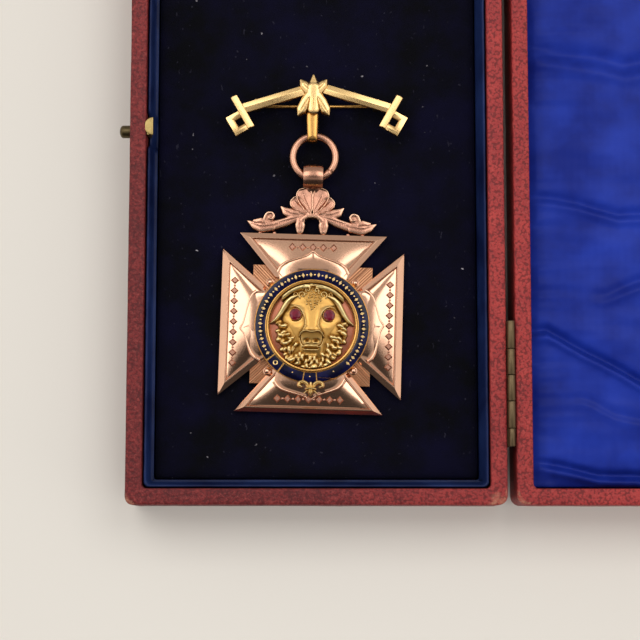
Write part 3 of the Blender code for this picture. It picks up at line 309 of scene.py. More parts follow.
def makeRedStone():
    # Cut red paste with foil behind it: dark and lighter red in small clouds
    made, tree, shader, where = startMaterial("pasteCut")
    colour = cloudedTone(tree, where, {"Scale": perMm(0.9), "Detail": 1.0}, (0.0, 1.0),
                         "#30030e", "#8c1634")
    setShader(tree, shader, {"Roughness": 0.04, "IOR": 1.6, "Specular IOR Level": 0.5, "Coat Weight": 0.2,
                             "Coat Roughness": 0.03}, {"Base Color": colour.outputs[2]})
    return made


def makeLeather():
    # Roan: sheepskin dyed red and glazed over wood. The grain's raised tops are painted with pale flecks as
    # a highlight and its pits darker as painted shade; the case is painted darker towards its near left
    # corner and lighter towards its far right and over the lid
    made, tree, shader, where = startMaterial("leatherRoan")
    worn = addNode(tree, "Attribute", {"attribute_name": "worn"})
    # Painted shade and light: darker red towards the case's near left corner, lighter red towards its far
    # right and over the lid
    far = addNode(tree, "VectorMath", {"operation": "DOT_PRODUCT", 1: (1.0, 0.5, 0.0)}, {0: where})
    kept = addNode(tree, "MapRange", {"From Min": -0.05, "From Max": 0.03}, {"Value": far.outputs["Value"]})
    blotch = addNode(tree, "TexNoise", {"Scale": perMm(5.0), "Detail": 7.0, "Roughness": 0.75},
                     {"Vector": where})
    spread = addNode(tree, "MapRange", {"From Min": 0.36, "From Max": 0.66},
                     {"Value": blotch.outputs["Fac"]})
    handled = addNode(tree, "Mix", {"data_type": "RGBA", 6: fromHex("#541519"), 7: fromHex("#732425")},
                      {0: spread.outputs[0]})
    fresh = addNode(tree, "Mix", {"data_type": "RGBA", 6: fromHex("#8a282b"), 7: fromHex("#aa3a37")},
                    {0: spread.outputs[0]})
    dye = addNode(tree, "Mix", {"data_type": "RGBA"},
                  {0: kept.outputs[0], 6: handled.outputs[2], 7: fresh.outputs[2]})
    grain = addNode(tree, "TexVoronoi", {"feature": "SMOOTH_F1", "Scale": perMm(0.6), "Smoothness": 0.5},
                    {"Vector": where})
    pebble = addNode(tree, "TexNoise", {"Scale": perMm(0.9), "Detail": 5.0, "Roughness": 0.75},
                     {"Vector": where})
    high = addNode(tree, "Math", {"operation": "SUBTRACT"},
                   {0: pebble.outputs["Fac"], 1: grain.outputs["Distance"]})
    # Painted highlight: the grain's raised tops are painted paler
    fleck = addNode(tree, "MapRange", {"From Min": 0.5, "From Max": 0.8, "To Max": 0.55},
                    {"Value": pebble.outputs["Fac"]})
    lit = addNode(tree, "Mix", {"data_type": "RGBA", 7: fromHex("#b4564f")},
                  {0: fleck.outputs[0], 6: dye.outputs[2]})
    # Painted shade: the grain's pits are painted darker
    pore = addNode(tree, "MapRange", {"From Min": 0.0, "From Max": -0.2, "To Max": 0.6},
                   {"Value": high.outputs[0]})
    pitted = addNode(tree, "Mix", {"data_type": "RGBA", 7: fromHex("#3f0f12")},
                     {0: pore.outputs[0], 6: lit.outputs[2]})
    scuff = addNode(tree, "TexNoise", {"Scale": perMm(1.1), "Detail": 5.0, "Roughness": 0.8},
                    {"Vector": where})
    through = addNode(tree, "Math", {"operation": "MULTIPLY", "use_clamp": True},
                      {0: worn.outputs["Fac"], 1: scuff.outputs["Fac"]})
    rubbed = addNode(tree, "MapRange", {"From Min": 0.36, "From Max": 0.62, "To Max": 0.85},
                     {"Value": through.outputs[0]})
    colour = addNode(tree, "Mix", {"data_type": "RGBA", 7: fromHex("#a8725c")},
                     {0: rubbed.outputs[0], 6: pitted.outputs[2]})
    rough = addNode(tree, "MapRange", {"To Min": 0.42, "To Max": 0.68}, {"Value": blotch.outputs["Fac"]})
    bump = addNode(tree, "Bump", {"Strength": 1.0, "Distance": 0.14 * mm}, {"Height": high.outputs[0]})
    setShader(tree, shader, {"Specular IOR Level": 0.3},
              {"Base Color": colour.outputs[2], "Roughness": rough.outputs[0], "Normal": bump.outputs[0]})
    return made


def addLint(tree, where, look):
    # Factor for scattered short threads: spacing and reach in millimetres, share of places with one
    turned = addNode(tree, "Mapping", {"Rotation": (0, 0, look["turn"]), "Scale": (1.0, look["thin"], 1.0)},
                     {0: where})
    bend = addNode(tree, "TexNoise", {"Scale": perMm(1.5), "Detail": 2.0}, {"Vector": where})
    moved = addNode(tree, "VectorMath", {"operation": "MULTIPLY_ADD", 1: (0.0015, 0.0015, 0.0)},
                    {0: bend.outputs["Color"], 2: turned.outputs[0]})
    specks = addNode(tree, "TexVoronoi", {"Scale": perMm(look["spacing"])}, {"Vector": moved.outputs[0]})
    reach = look["reach"] / look["spacing"]
    near = addNode(tree, "MapRange",
                   {"From Min": reach * 0.5, "From Max": reach, "To Min": 1.0, "To Max": 0.0},
                   {"Value": specks.outputs["Distance"]})
    some = addNode(tree, "SeparateColor", links={0: specks.outputs["Color"]})
    chosen = addNode(tree, "MapRange",
                     {"From Min": 1 - look["share"], "From Max": 1.0, "To Max": look["strength"]},
                     {"Value": some.outputs[0]})
    return addNode(tree, "Math", {"operation": "MULTIPLY"},
                   {0: near.outputs[0], 1: chosen.outputs[0]}).outputs[0]


def makeVelvet():
    # Silk velvet: a short upright pile, nearly black from above and blue along the lie, with lint in it
    made, tree, shader, where = startMaterial("velvetPile")
    colour = cloudedTone(tree, where, {"Scale": perMm(16.0), "Detail": 5.0, "Roughness": 0.6}, (0.38, 0.66),
                         "#040409", "#08071e")
    # Down caught in the pile, faint threads both ways, and a few bright specks
    for look, tone in (
        ({"spacing": 1.5, "reach": 0.24, "share": 0.6, "strength": 0.7, "turn": 0.4, "thin": 0.85},
         "#2c2b38"),
        ({"spacing": 1.9, "reach": 0.26, "share": 0.25, "strength": 0.6, "turn": 1.9, "thin": 0.4},
         "#32313e"),
        ({"spacing": 4.2, "reach": 0.24, "share": 0.6, "strength": 0.95, "turn": 0.0, "thin": 0.85},
         "#a29da4"),
    ):
        lint = addLint(tree, where, look)
        colour = addNode(tree, "Mix", {"data_type": "RGBA", 7: fromHex(tone)},
                         {0: lint, 6: colour.outputs[2]})
    tufts = addNode(tree, "TexNoise", {"Scale": perMm(0.35), "Detail": 3.0, "Roughness": 0.7},
                    {"Vector": where})
    bump = addNode(tree, "Bump", {"Strength": 0.9, "Distance": 0.25 * mm}, {"Height": tufts.outputs["Fac"]})
    setShader(tree, shader, {"Roughness": 0.95, "Specular IOR Level": 0.12, "Sheen Weight": 0.1,
                             "Sheen Roughness": 0.35, "Sheen Tint": fromHex("#4a4f9a")},
              {"Base Color": colour.outputs[2], "Normal": bump.outputs[0]})
    return made


def makeSilk(name, deep, light, threadMm, shine):
    # Silk satin: warp threads lie on top, so it shines along its folds; fine ribs cross it
    made, tree, shader, where = startMaterial(name)
    dye = cloudedTone(tree, where, {"Scale": perMm(12.0), "Detail": 4.0}, (0.35, 0.7), deep, light)
    warp = addNode(tree, "TexWave", {
        "wave_type": "BANDS", "bands_direction": "X", "Scale": perMm(threadMm) / 20, "Distortion": 1.5,
        "Detail": 2.0}, {"Vector": where})
    slub = addNode(tree, "Mapping", {"Scale": (0.05, 1.0, 1.0)}, {0: where})
    weft = addNode(tree, "TexNoise", {"Scale": perMm(threadMm), "Detail": 3.0}, {"Vector": slub.outputs[0]})
    weave = addNode(tree, "Math", {"operation": "ADD"}, {0: warp.outputs["Fac"], 1: weft.outputs["Fac"]})
    bump = addNode(tree, "Bump", {"Strength": 0.25, "Distance": 0.05 * mm}, {"Height": weave.outputs[0]})
    rough = addNode(tree, "MapRange", {"To Min": 0.34, "To Max": 0.5}, {"Value": weft.outputs["Fac"]})
    setShader(tree, shader, {"Specular IOR Level": shine, "Anisotropic": 0.4},
              {"Base Color": dye.outputs[2], "Roughness": rough.outputs[0], "Normal": bump.outputs[0]})
    return made


def makeTable():
    # Pale cloth backdrop, plain
    made, tree, shader, where = startMaterial("backdropPaper")
    grain = addNode(tree, "TexNoise", {"Scale": perMm(1.2), "Detail": 3.0}, {"Vector": where})
    bump = addNode(tree, "Bump", {"Strength": 0.1, "Distance": 0.05 * mm}, {"Height": grain.outputs["Fac"]})
    setShader(tree, shader, {"Base Color": fromHex("#dad6cf"), "Roughness": 0.9},
              {"Normal": bump.outputs[0]})
    return made


enamel = makeEnamel()
redStone = makeRedStone()
leather = makeLeather()
velvet = makeVelvet()
liningSilk = makeSilk("silkSatinLining", "#12237a", "#1e359c", 0.3, 0.12)
edgeSilk = makeSilk("silkSatinEdge", "#0d1739", "#1d2d5a", 0.3, 0.18)
table = makeTable()
print("materials made")


# Making pieces

def finishPiece(name, bm, material, body, replaces=(), smooth=35, matrix=None):
    # A bmesh in millimetres becomes one named piece in the shared frame. Edges of more than "smooth"
    # degrees stay sharp
    bmesh.ops.recalc_face_normals(bm, faces=bm.faces)
    if matrix:
        bm.transform(matrix)
    bm.transform(Matrix.Scale(mm, 4))
    mesh = bpy.data.meshes.new(name)
    bm.to_mesh(mesh)
    bm.free()
    mesh.shade_smooth()
    if smooth < 180:
        mesh.set_sharp_from_angle(angle=math.radians(smooth))
    mesh.materials.append(material)
    piece = addObject(name, mesh)
    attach(piece, body)
    if replaces:
        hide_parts(*replaces)
    return piece


def nodeBox(*names):
    corners = [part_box(name) for name in names]
    low = np.min([np.array(c[0]) for c in corners], axis=0) / mm
    high = np.max([np.array(c[1]) for c in corners], axis=0) / mm
    return low, high


def nodeMiddle(name):
    low, high = nodeBox(name)
    return (low + high) / 2


def loftRings(bm, rings, closed=False, caps=True, layer=None, values=None):
    made = [[bm.verts.new(p) for p in ring] for ring in rings]
    if layer is not None:
        for ring, value in zip(made, values):
            for vert in ring:
                vert[layer] = value
    pairs = list(zip(made, made[1:] + made[:1])) if closed else list(zip(made, made[1:]))
    for low, high in pairs:
        for i in range(len(low)):
            j = (i + 1) % len(low)
            bm.faces.new((low[i], low[j], high[j], high[i]))
    if caps and not closed:
        bm.faces.new(made[0])
        bm.faces.new(made[-1])
    return made


def onCircle(radius, angle, x=0.0, y=0.0):
    return x + radius * math.cos(angle), y + radius * math.sin(angle)


def circlePoints(radius, sides, x=0.0, y=0.0, start=0.0):
    return [onCircle(radius, start + 2 * math.pi * i / sides, x, y) for i in range(sides)]


def tubeRings(stations, sides, middle, alongY=False):
    # Rings of (distance, radius) along X, or along Y, round a line through "middle"
    rings = [[(at, a, b) for a, b in circlePoints(r, sides, *middle)] for at, r in stations]
    return [[(a, at, b) for at, a, b in ring] for ring in rings] if alongY else rings


def gridRing(columns, rows, pointAt):
    # Outline of a grid from its near left corner; pointAt takes u, -1 to 1 across, and v, 0 to 1 along
    ring = [pointAt(-1 + 2 * i / columns, 0) for i in range(columns)]
    ring += [pointAt(1, j / rows) for j in range(rows)]
    ring += [pointAt(1 - 2 * i / columns, 1) for i in range(columns)]
    ring += [pointAt(-1, 1 - j / rows) for j in range(rows)]
    return ring


def gridFaces(bm, grid):
    for near, far in zip(grid, grid[1:]):
        for i in range(len(near) - 1):
            bm.faces.new((near[i], near[i + 1], far[i + 1], far[i]))


def fillGrid(bm, edge, columns, rows, pointAt):
    # Fills such an outline with a surface
    sides = {(i, 0): edge[i] for i in range(columns + 1)}
    sides |= {(i, rows): edge[2 * columns + rows - i] for i in range(columns + 1)}
    for j in range(1, rows):
        sides[0, j], sides[columns, j] = edge[-j], edge[columns + j]
    gridFaces(bm, [[
        sides[i, j] if (i, j) in sides else bm.verts.new(pointAt(-1 + 2 * i / columns, j / rows))
        for i in range(columns + 1)] for j in range(rows + 1)])


def roundedRectangle(width, length, radius, cornerSteps, across, alongCount):
    # Perimeter with points along the straight sides too, so that it can be dented and ruffled
    points = []
    ways = ((-1, 0), (0, -1), (1, 0), (0, 1))
    for corner, (sx, sy) in enumerate(((1, 1), (-1, 1), (-1, -1), (1, -1))):
        cx, cy = sx * (width / 2 - radius), sy * (length / 2 - radius)
        for i in range(cornerSteps + 1):
            angle = math.pi / 2 * (corner + i / cornerSteps)
            points.append((cx + radius * math.cos(angle), cy + radius * math.sin(angle)))
        count = across if corner % 2 == 0 else alongCount
        step = ((width if corner % 2 == 0 else length) - 2 * radius) / count
        lastX, lastY = points[-1]
        for i in range(1, count):
            points.append((lastX + ways[corner][0] * step * i, lastY + ways[corner][1] * step * i))
    return points


def turnedPiece(profile, sides, x=0.0, y=0.0, closed=False):
    bm = bmesh.new()
    loftRings(bm, [[(px, py, z) for px, py in circlePoints(r, sides, x, y)] for r, z in profile],
              closed=closed)
    return bm


def cubeMesh(middle, size):
    bm = bmesh.new()
    bmesh.ops.create_cube(bm, size=1)
    bm.transform(Matrix.Translation(middle) @ Matrix.Diagonal((*size, 1)))
    return bm


def lowerRim(bm, z):
    # Draws the open edge down to a height and gives what was made
    down = bmesh.ops.extrude_edge_only(bm, edges=[e for e in bm.edges if e.is_boundary])["geom"]
    verts = [v for v in down if isinstance(v, bmesh.types.BMVert)]
    for vert in verts:
        vert.co.z = z
    return verts, [e for e in down if isinstance(e, bmesh.types.BMEdge) and e.is_boundary]


def joinInto(target, other):
    # Adds the faces of one bmesh to another
    mesh = bpy.data.meshes.new("join")
    other.to_mesh(mesh)
    target.from_mesh(mesh)
    bpy.data.meshes.remove(mesh)
    other.free()


# Chased relief: strokes and lobes laid over each other, highest wins. Where nothing lies, noMetal

noMetal = -9.0


def alongPath(values, samples):
    return np.interp(np.linspace(0, 1, samples), np.linspace(0, 1, len(values)), values)


def smoothPath(path, samples):
    path = np.array(path, float)
    px, py = alongPath(path[:, 0], samples), alongPath(path[:, 1], samples)
    if len(path) > 2:
        for _ in range(4):
            px[1:-1] = (px[:-2] + 2 * px[1:-1] + px[2:]) / 4
            py[1:-1] = (py[:-2] + 2 * py[1:-1] + py[2:]) / 4
    return px, py


def mirrored(path, side):
    return [(side * x, y) for x, y in path]


def gridNear(gx, gy, px, py, reach):
    # The part of a grid within reach of a path, if there is one
    rows = np.where((gy[:, 0] > py.min() - reach) & (gy[:, 0] < py.max() + reach))[0]
    cols = np.where((gx[0] > px.min() - reach) & (gx[0] < px.max() + reach))[0]
    return np.s_[rows[0]:rows[-1] + 1, cols[0]:cols[-1] + 1] if len(rows) and len(cols) else None


def layStroke(height, gx, gy, path, halfWidths, tops, blunt=2.0, samples=40):
    # Raises "height" along one tapered round stroke
    px, py = smoothPath(path, samples)
    widths, high = alongPath(halfWidths, samples), alongPath(tops, samples)
    part = gridNear(gx, gy, px, py, widths.max() + 0.05)
    if part is None:
        return
    x, y, best = gx[part], gy[part], height[part]
    for cx, cy, width, top in zip(px, py, widths, high):
        away = np.hypot(x - cx, y - cy) / width
        dome = top * np.clip(1 - away**blunt, 0, None) ** (1 / blunt)
        np.maximum(best, np.where(away < 1, dome, noMetal), out=best)
    height[part] = best


def cutLine(height, gx, gy, path, halfWidth, depth, samples=30):
    # A graver's line: a soft groove along the path, shallow at its ends
    px, py = smoothPath(path, samples)
    part = gridNear(gx, gy, px, py, halfWidth * 2.5)
    if part is None:
        return
    x, y = gx[part], gy[part]
    near = np.full(x.shape, 9.0)
    ends = np.minimum(np.linspace(0, 1, samples), np.linspace(1, 0, samples)) * 4
    for cx, cy, fade in zip(px, py, np.clip(ends + 0.25, 0, 1)):
        np.minimum(near, np.hypot(x - cx, y - cy) / (halfWidth * fade), out=near)
    height[part] -= depth * np.exp(-near**2)


def chasedHeight(gx, gy, work):
    # Strokes, strokes on both sides, and then the graver's lines on both sides and down the middle
    height = np.full(gx.shape, noMetal)
    for stroke in work["strokes"]:
        layStroke(height, gx, gy, *stroke)
    for side in (-1, 1):
        for path, *form in work["pairs"]:
            layStroke(height, gx, gy, mirrored(path, side), *form)
    for side in (-1, 1):
        for path, *form in work["cutPairs"]:
            cutLine(height, gx, gy, mirrored(path, side), *form)
    for line in work["cuts"]:
        cutLine(height, gx, gy, *line)
    return height


def reliefPiece(heightOf, xRange, yRange, step, back, lift, bowlMm=0.5):
    # Closed relief: the surface height + lift, cut flat where height falls below nought. "hollow" marks its
    # low places and a second attribute its high ones, which are painted paler as a highlight, both told
    # from a blur as wide as the bowl of a chasing tool
    xs = np.arange(xRange[0], xRange[1] + step / 2, step)
    ys = np.arange(yRange[0], yRange[1] + step / 2, step)
    gx, gy = np.meshgrid(xs, ys)
    height = heightOf(gx, gy)
    solid = np.clip(height, 0, None)
    blurred = solid.copy()
    width = max(1, round(bowlMm / step))
    for _ in range(3):
        for axis in (0, 1):
            margins = [(width + 1, width) if a == axis else (0, 0) for a in (0, 1)]
            total = np.cumsum(np.pad(blurred, margins, "edge"), axis)
            upper = np.take(total, range(2 * width + 1, total.shape[axis]), axis)
            lower = np.take(total, range(0, total.shape[axis] - 2 * width - 1), axis)
            blurred = (upper - lower) / (2 * width + 1)
    hollow = np.clip((blurred - solid) * 4.0, 0, 1)
    # Painted highlight: places standing above the blur are painted paler
    rubbed = np.clip((solid - blurred) * 4.0 - 0.15, 0, 1)
    bm = bmesh.new()
    layer = bm.verts.layers.float.new("hollow")
    high = bm.verts.layers.float.new("rubbed")
    # One row of points past the surface is kept for the cut
    margin = -0.4
    keep = height > margin
    grown = keep.copy()
    grown[1:] |= keep[:-1]
    grown[:-1] |= keep[1:]
    grown[:, 1:] |= grown[:, :-1].copy()
    grown[:, :-1] |= grown[:, 1:].copy()
    clamped = np.clip(height, margin, None)
    grid = {}
    for j, i in zip(*np.where(grown)):
        vert = bm.verts.new((gx[j, i], gy[j, i], clamped[j, i] + lift))
        vert[layer] = float(hollow[j, i])
        vert[high] = float(rubbed[j, i])
        grid[j, i] = vert
    for (j, i), a in grid.items():
        b, c, d = grid.get((j, i + 1)), grid.get((j + 1, i + 1)), grid.get((j + 1, i))
        if b and c and d:
            bm.faces.new((a, b, c, d))
    bmesh.ops.bisect_plane(
        bm, geom=bm.verts[:] + bm.edges[:] + bm.faces[:], dist=1e-5,
        plane_co=(0, 0, lift), plane_no=(0, 0, 1), clear_inner=True,
    )
    loose = [v for v in bm.verts if not v.link_faces]
    bmesh.ops.delete(bm, geom=loose, context="VERTS")
    verts, low = lowerRim(bm, back)
    for vert in verts:
        vert[layer] = 0.5
    bmesh.ops.triangle_fill(bm, use_beauty=True, edges=low, normal=(0, 0, -1))
    return bm


# Where things are, read from the frame

caseLow, caseHigh = nodeBox("case_base")
lidLow, lidHigh = nodeBox("lid_shell")
caseWidth, caseLength, caseDepth = caseHigh - caseLow
lidMiddleX = float((lidLow[0] + lidHigh[0]) / 2)
discMiddle = nodeMiddle("centre_disc")
medalTurn = math.radians(-1.7)   # it lies a little askew on the pad
medalBack = float(nodeBox("cross_body")[0][2])
medallionOffset = (0.2, -1.0)
medallionBase = float(nodeBox("centre_disc")[0][2])
turnMatrix = Matrix.Rotation(medalTurn, 4, "Z")
medallionAt = Matrix.Translation((discMiddle[0], discMiddle[1], medallionBase)) @ turnMatrix
crossCentre = Vector((discMiddle[0], discMiddle[1], 0)) - turnMatrix @ Vector((*medallionOffset, 0))
medalAt = Matrix.Translation((crossCentre.x, crossCentre.y, medalBack)) @ turnMatrix
metalGap = 0.1
softGap = 0.3


# Cross: four bevelled arms with pillowed panels

crossSizes = {
    "half": 22.4, "tipHalf": 18.6, "taper": 0.845, "root": 11.3,
    "ridge": 2.35, "panel": 1.95, "sideBevel": 1.2,
    "plateHalf": 15.0, "plateY": -0.65, "plateHeight": 1.5, "hatchPitch": 0.55, "hatchDepth": 0.14,
    "hatchFrom": 6.5, "hatchAlong": (9.5, 21.5),
}
# turn, how far it was soldered off its place, outer bevel, motifs in its row, crown of its panel and the
# panel's outward fall, which end of the panel faces the near side, and the height of its edge
crossArms = [
    (0, (-0.15, -0.05), 1.1, 5, 0.26, 0.03, 0, 1.95), (90, (-0.5, -0.35), 1.6, 9, 0.28, 0.045, -1, 1.5),
    (180, (-0.1, -0.35), 1.0, 7, 0.03, 0.07, 0, 1.5), (270, (0.5, -0.35), 1.5, 9, 0.28, 0.045, 1, 1.5),
]
armBracket = {
    # share of the way from the tip to the end, and from the end out to the tip
    "ogee": [(0.0, 1.0), (0.167, 0.786), (0.4, 0.661), (0.6, 0.554), (0.79, 0.429), (0.92, 0.25),
             (1.0, 0.0)],
    # tip and two ends on each arm, filed by eye, so no two are alike
    "places": [((-0.1, 18.0), (-8.85, 12.5), (9.0, 12.4)), ((-2.0, 17.8), (-9.9, 12.6), (7.5, 13.9)),
               ((-0.35, 19.5), (-8.8, 14.1), (8.85, 15.1)), ((0.3, 18.1), (-8.4, 13.3), (9.4, 14.4))],
    "inner": 12.4, "plateTop": 2.3, "ridgeWidth": 0.5, "ridgeTop": 0.42,
    # the ridge's share of its width, and what is added to its height, from its tip to its end
    "ridgeWidths": (0.7, 0.75, 0.9, 1.1), "ridgeRises": (0, 0, 0.05, 0.1),
    # crowned face of the plate: share of its outline, rise over its edge
    "crown": ((1.0, -0.1), (0.98, 0.0), (0.8, 0.1), (0.5, 0.16)),
}
motifRow = {"line": 19.0, "pitch": 2.6, "halfWidth": 0.95, "halfHeight": 1.05, "top": 2.5, "bead": 0.3,
            "flat": 0.66}


def armHalf(out, inset):
    s = crossSizes
    return s["tipHalf"] - (s["half"] - out) * s["taper"] - inset * math.hypot(1, s["taper"])


def armPoint(outerInset, sideInset):
    # Gives the points of an arm's inset outline: v runs from its root to its outer edge
    top, low = crossSizes["half"] - outerInset, crossSizes["root"]

    def pointAt(u, v):
        y = low + (top - low) * v
        return armHalf(y, sideInset) * u, y

    return pointAt


def armMesh(outerBevel, crown, fall, nearEnd, rim):
    ridge, panel = crossSizes["ridge"], crossSizes["panel"]
    columns, rows = 40, 24
    profile = [
        # outer inset, side inset, height, hollow
        (0.25, 0.2, 0.0, 0.4), (0.02, 0.02, 0.2, 0.3), (0.0, 0.0, 0.35, 0.2), (0.0, 0.0, rim - 0.1, 0.0),
        (0.03, 0.03, rim - 0.03, 0.0), (0.1, 0.1, rim + 0.03, 0.0),
    ]
    # Over the bevel and down to the panel: further in, height, hollow
    profile += [(outerBevel + past, crossSizes["sideBevel"] + past, z, hollow) for past, z, hollow in (
        (-0.1, ridge - 0.1, 0.0), (-0.03, ridge - 0.04, 0.0), (0.05, ridge, 0.0), (0.22, ridge, 0.0),
        (0.3, ridge - 0.05, 0.0), (0.38, panel - 0.02, 0.75), (0.46, panel - 0.06, 0.75),
        (0.58, panel, 0.1))]
    bm = bmesh.new()
    layer = bm.verts.layers.float.new("hollow")
    rings = [[(x, y, z) for x, y in gridRing(columns, rows, armPoint(o, i))] for o, i, z, _ in profile]
    made = loftRings(bm, rings, caps=False, layer=layer, values=[p[3] for p in profile])
    bm.faces.new(made[0])
    outer, side = profile[-1][:2]
    pointAt, outerY = armPoint(outer, side), crossSizes["half"] - outer

    def panelAt(u, v):
        x, y = pointAt(u, v)
        sharp = 2.4 if nearEnd == 0 else 2.1 if u * nearEnd > 0 else 7.0
        lift = crown * (1 - abs(u) ** sharp) * (1 - abs(2 * v - 1) ** 2.2)
        lift += fall * (outerY - y) * (1 - abs(u) ** 5)
        return x, y, panel + lift

    fillGrid(bm, made[-1], columns, rows, panelAt)
    return bm


def sweptRidge(path, widths, low, tops, samples=60):
    # Half-round ridge along a path, with closed ends
    px, py = smoothPath(path, samples)
    tangent = np.stack([np.gradient(px), np.gradient(py)], 1)
    tangent /= np.linalg.norm(tangent, axis=1)[:, None]
    rings = []
    for x, y, (tx, ty), w, h in zip(px, py, tangent, alongPath(widths, samples), alongPath(tops, samples)):
        ring = [(x + ty * w, y - tx * w, low)]
        for k in range(7):
            angle = math.pi * k / 6
            ring.append((x + ty * w * math.cos(angle), y - tx * w * math.cos(angle),
                         low + h * math.sin(angle) + 0.02))
        ring.append((x - ty * w, y + tx * w, low))
        rings.append(ring)
    bm = bmesh.new()
    loftRings(bm, rings)
    return bm


def bracketMesh(tip, *ends):
    b = armBracket
    bm = bmesh.new()
    sides = []
    for endX, endY in ends:
        path = [(tip[0] + (endX - tip[0]) * a, endY + (tip[1] - endY) * k) for a, k in b["ogee"]]
        px, py = smoothPath(path, 24)
        sides.append([(float(x), float(y)) for x, y in zip(px, py)])
        joinInto(bm, sweptRidge(path, [b["ridgeWidth"] * k for k in b["ridgeWidths"]],
                                b["plateTop"] - 0.25, [b["ridgeTop"] + k for k in b["ridgeRises"]]))
    inner = [onCircle(b["inner"], math.radians(a)) for a in range(50, 131, 8)]
    outline = sides[1] + inner + sides[0][:0:-1]
    plate = bmesh.new()
    middleY = 14.0
    levels = [(1.0, crossSizes["plateHeight"])] + [(k, b["plateTop"] + rise) for k, rise in b["crown"]]
    loftRings(plate, [[(x * k, middleY + (y - middleY) * k, z) for x, y in outline] for k, z in levels])
    joinInto(bm, plate)
    return bm


def lozengeMesh(x, y, halfWidth, halfHeight, low, high, flat=0.4, turn=0.0):
    bm = bmesh.new()
    points = [(halfWidth, 0), (0, halfHeight), (-halfWidth, 0), (0, -halfHeight)]
    rings = [[(px * k, py * k, z) for px, py in points]
             for k, z in ((1.0, low), (1.0, high - 0.3), (flat, high))]
    loftRings(bm, rings)
    bm.transform(Matrix.Translation((x, y, 0)) @ Matrix.Rotation(turn, 4, "Z"))
    return bm


def beadMesh(x, y, radius, low, high, sides=14):
    profile = [(radius, low), (radius, high - radius * 0.7), (radius * 0.85, high - radius * 0.3),
               (radius * 0.5, high - radius * 0.06), (radius * 0.15, high)]
    return turnedPiece(profile, sides, x, y)


def makeCross():
    s = crossSizes
    for index, (turn, off, outerBevel, motifs, *form) in enumerate(crossArms, 1):
        spin = Matrix.Rotation(math.radians(turn), 4, "Z")
        place = medalAt @ Matrix.Translation((*off, 0)) @ spin
        arm = finishPiece(f"cross_arm_{index}", armMesh(outerBevel, *form), roseGold, "case", smooth=24,
                          matrix=place)
        if index == 1:
            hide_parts("cross_body")
        finishPiece(f"cross_bracket_{index}", bracketMesh(*armBracket["places"][index - 1]), roseGold,
                    "case", smooth=40, matrix=medalAt @ spin)
        row = bmesh.new()
        middle = (motifs - 1) / 2
        for i in range(motifs):
            x = (i - middle) * motifRow["pitch"]
            joinInto(row, lozengeMesh(x, motifRow["line"], motifRow["halfWidth"], motifRow["halfHeight"],
                                      s["panel"] - 0.1, motifRow["top"] + 0.1, motifRow["flat"]))
            if i < motifs - 1:
                joinInto(row, beadMesh(x + motifRow["pitch"] / 2, motifRow["line"], motifRow["bead"],
                                       s["panel"] - 0.1, motifRow["top"]))
        finishPiece(f"cross_motifs_{index}", row, roseGoldChased, "case", smooth=30, matrix=place)
    # Plate, with its four corners hatched towards the middle
    plate = bmesh.new()
    half, top = s["plateHalf"], s["plateHeight"]
    square = [(half, half), (-half, half), (-half, -half), (half, -half)]
    loftRings(plate, [[(x * k, y * k, z) for x, y in square] for k, z in
                      ((0.99, 0.0), (1.0, 0.12), (1.0, top - 0.18), (0.99, top - 0.1))])
    plateAt = medalAt @ Matrix.Translation((0, s["plateY"], 0))
    finishPiece("cross_plate", plate, roseGoldHatched, "case", smooth=30, matrix=plateAt)
    for index in range(4):
        hatch = bmesh.new()
        layer = hatch.verts.layers.float.new("hollow")
        pitch = s["hatchPitch"]
        count = int(9.0 / pitch)
        lines = []
        rnd = random.Random(index)
        for k in range(-2 * count, 2 * count + 1):
            cut = s["hatchDepth"] * rnd.uniform(0.3, 1.7)
            across = k * pitch / 2 + rnd.uniform(-0.06, 0.06)
            low = k % 2 == 1
            ends = []
            for along in s["hatchAlong"]:
                x, y = (along - across) / math.sqrt(2), (along + across) / math.sqrt(2)
                vert = hatch.verts.new((x, y, top - (cut if low else 0)))
                vert[layer] = 0.8 if low else 0.0
                ends.append(vert)
            lines.append(ends)
        for a, b in zip(lines, lines[1:]):
            hatch.faces.new((a[0], a[1], b[1], b[0]))
        outer, inner = half - 0.06, s["hatchFrom"]
        for co, no in (((outer, 0, 0), (1, 0, 0)), ((0, outer, 0), (0, 1, 0)),
                       ((inner, 0, 0), (-1, 0, 0)), ((0, inner, 0), (0, -1, 0))):
            bmesh.ops.bisect_plane(hatch, geom=hatch.verts[:] + hatch.edges[:] + hatch.faces[:],
                                   plane_co=co, plane_no=no, clear_outer=True)
        lowerRim(hatch, top - 0.3)
        spin = plateAt @ Matrix.Rotation(math.radians(90 * index), 4, "Z")
        finishPiece(f"cross_corner_{index + 1}", hatch, roseGoldHatched, "case", smooth=10, matrix=spin)


makeCross()
print("cross made")


# Medallion: garter ring, enamel, motifs, disc

garter = {
    "radius": 14.4, "bandOuter": 14.2, "bandInner": 11.7, "discRadius": 10.85, "top": 1.5, "rim": 1.75,
    "channel": 1.0, "enamelTop": 1.45, "motifs": 31, "sides": 180, "loopTurn": 227.0,
}
# Angle in degrees, reach and size
garterEyelets = [(249.0, 12.6, 0.2), (269.3, 12.7, 0.2), (297.0, 12.6, 0.2)]
strapEdge = [(1.7, -12.85), (4.0, -12.95), (6.3, -13.0)]
# Radius and height of the disc behind the head
discProfile = [(10.6, 0.0), (10.6, 0.36), (10.5, 0.4), (0.4, 0.42)]
enamelFields = [
    # node, from and to angle in degrees
    ("enamel_band", -49.0, 217.5),
    ("enamel_buckle", 220.5, 233.5),
    ("enamel_tail_left", 236.5, 261.0),
    ("enamel_strap_end", 263.5, 275.5),
    ("enamel_tail_right", 278.0, 308.5),
]


def arcSlab(inner, outer, start, end, section):
    # Part of a ring whose cross-section is (share of the width, height) pairs
    count = max(3, int(abs(end - start) / 2))
    rings = []
    for i in range(count + 1):
        angle = math.radians(start + (end - start) * i / count)
        rings.append([(*onCircle(inner + (outer - inner) * k, angle), z) for k, z in section])
    bm = bmesh.new()
    loftRings(bm, rings)
    return bm


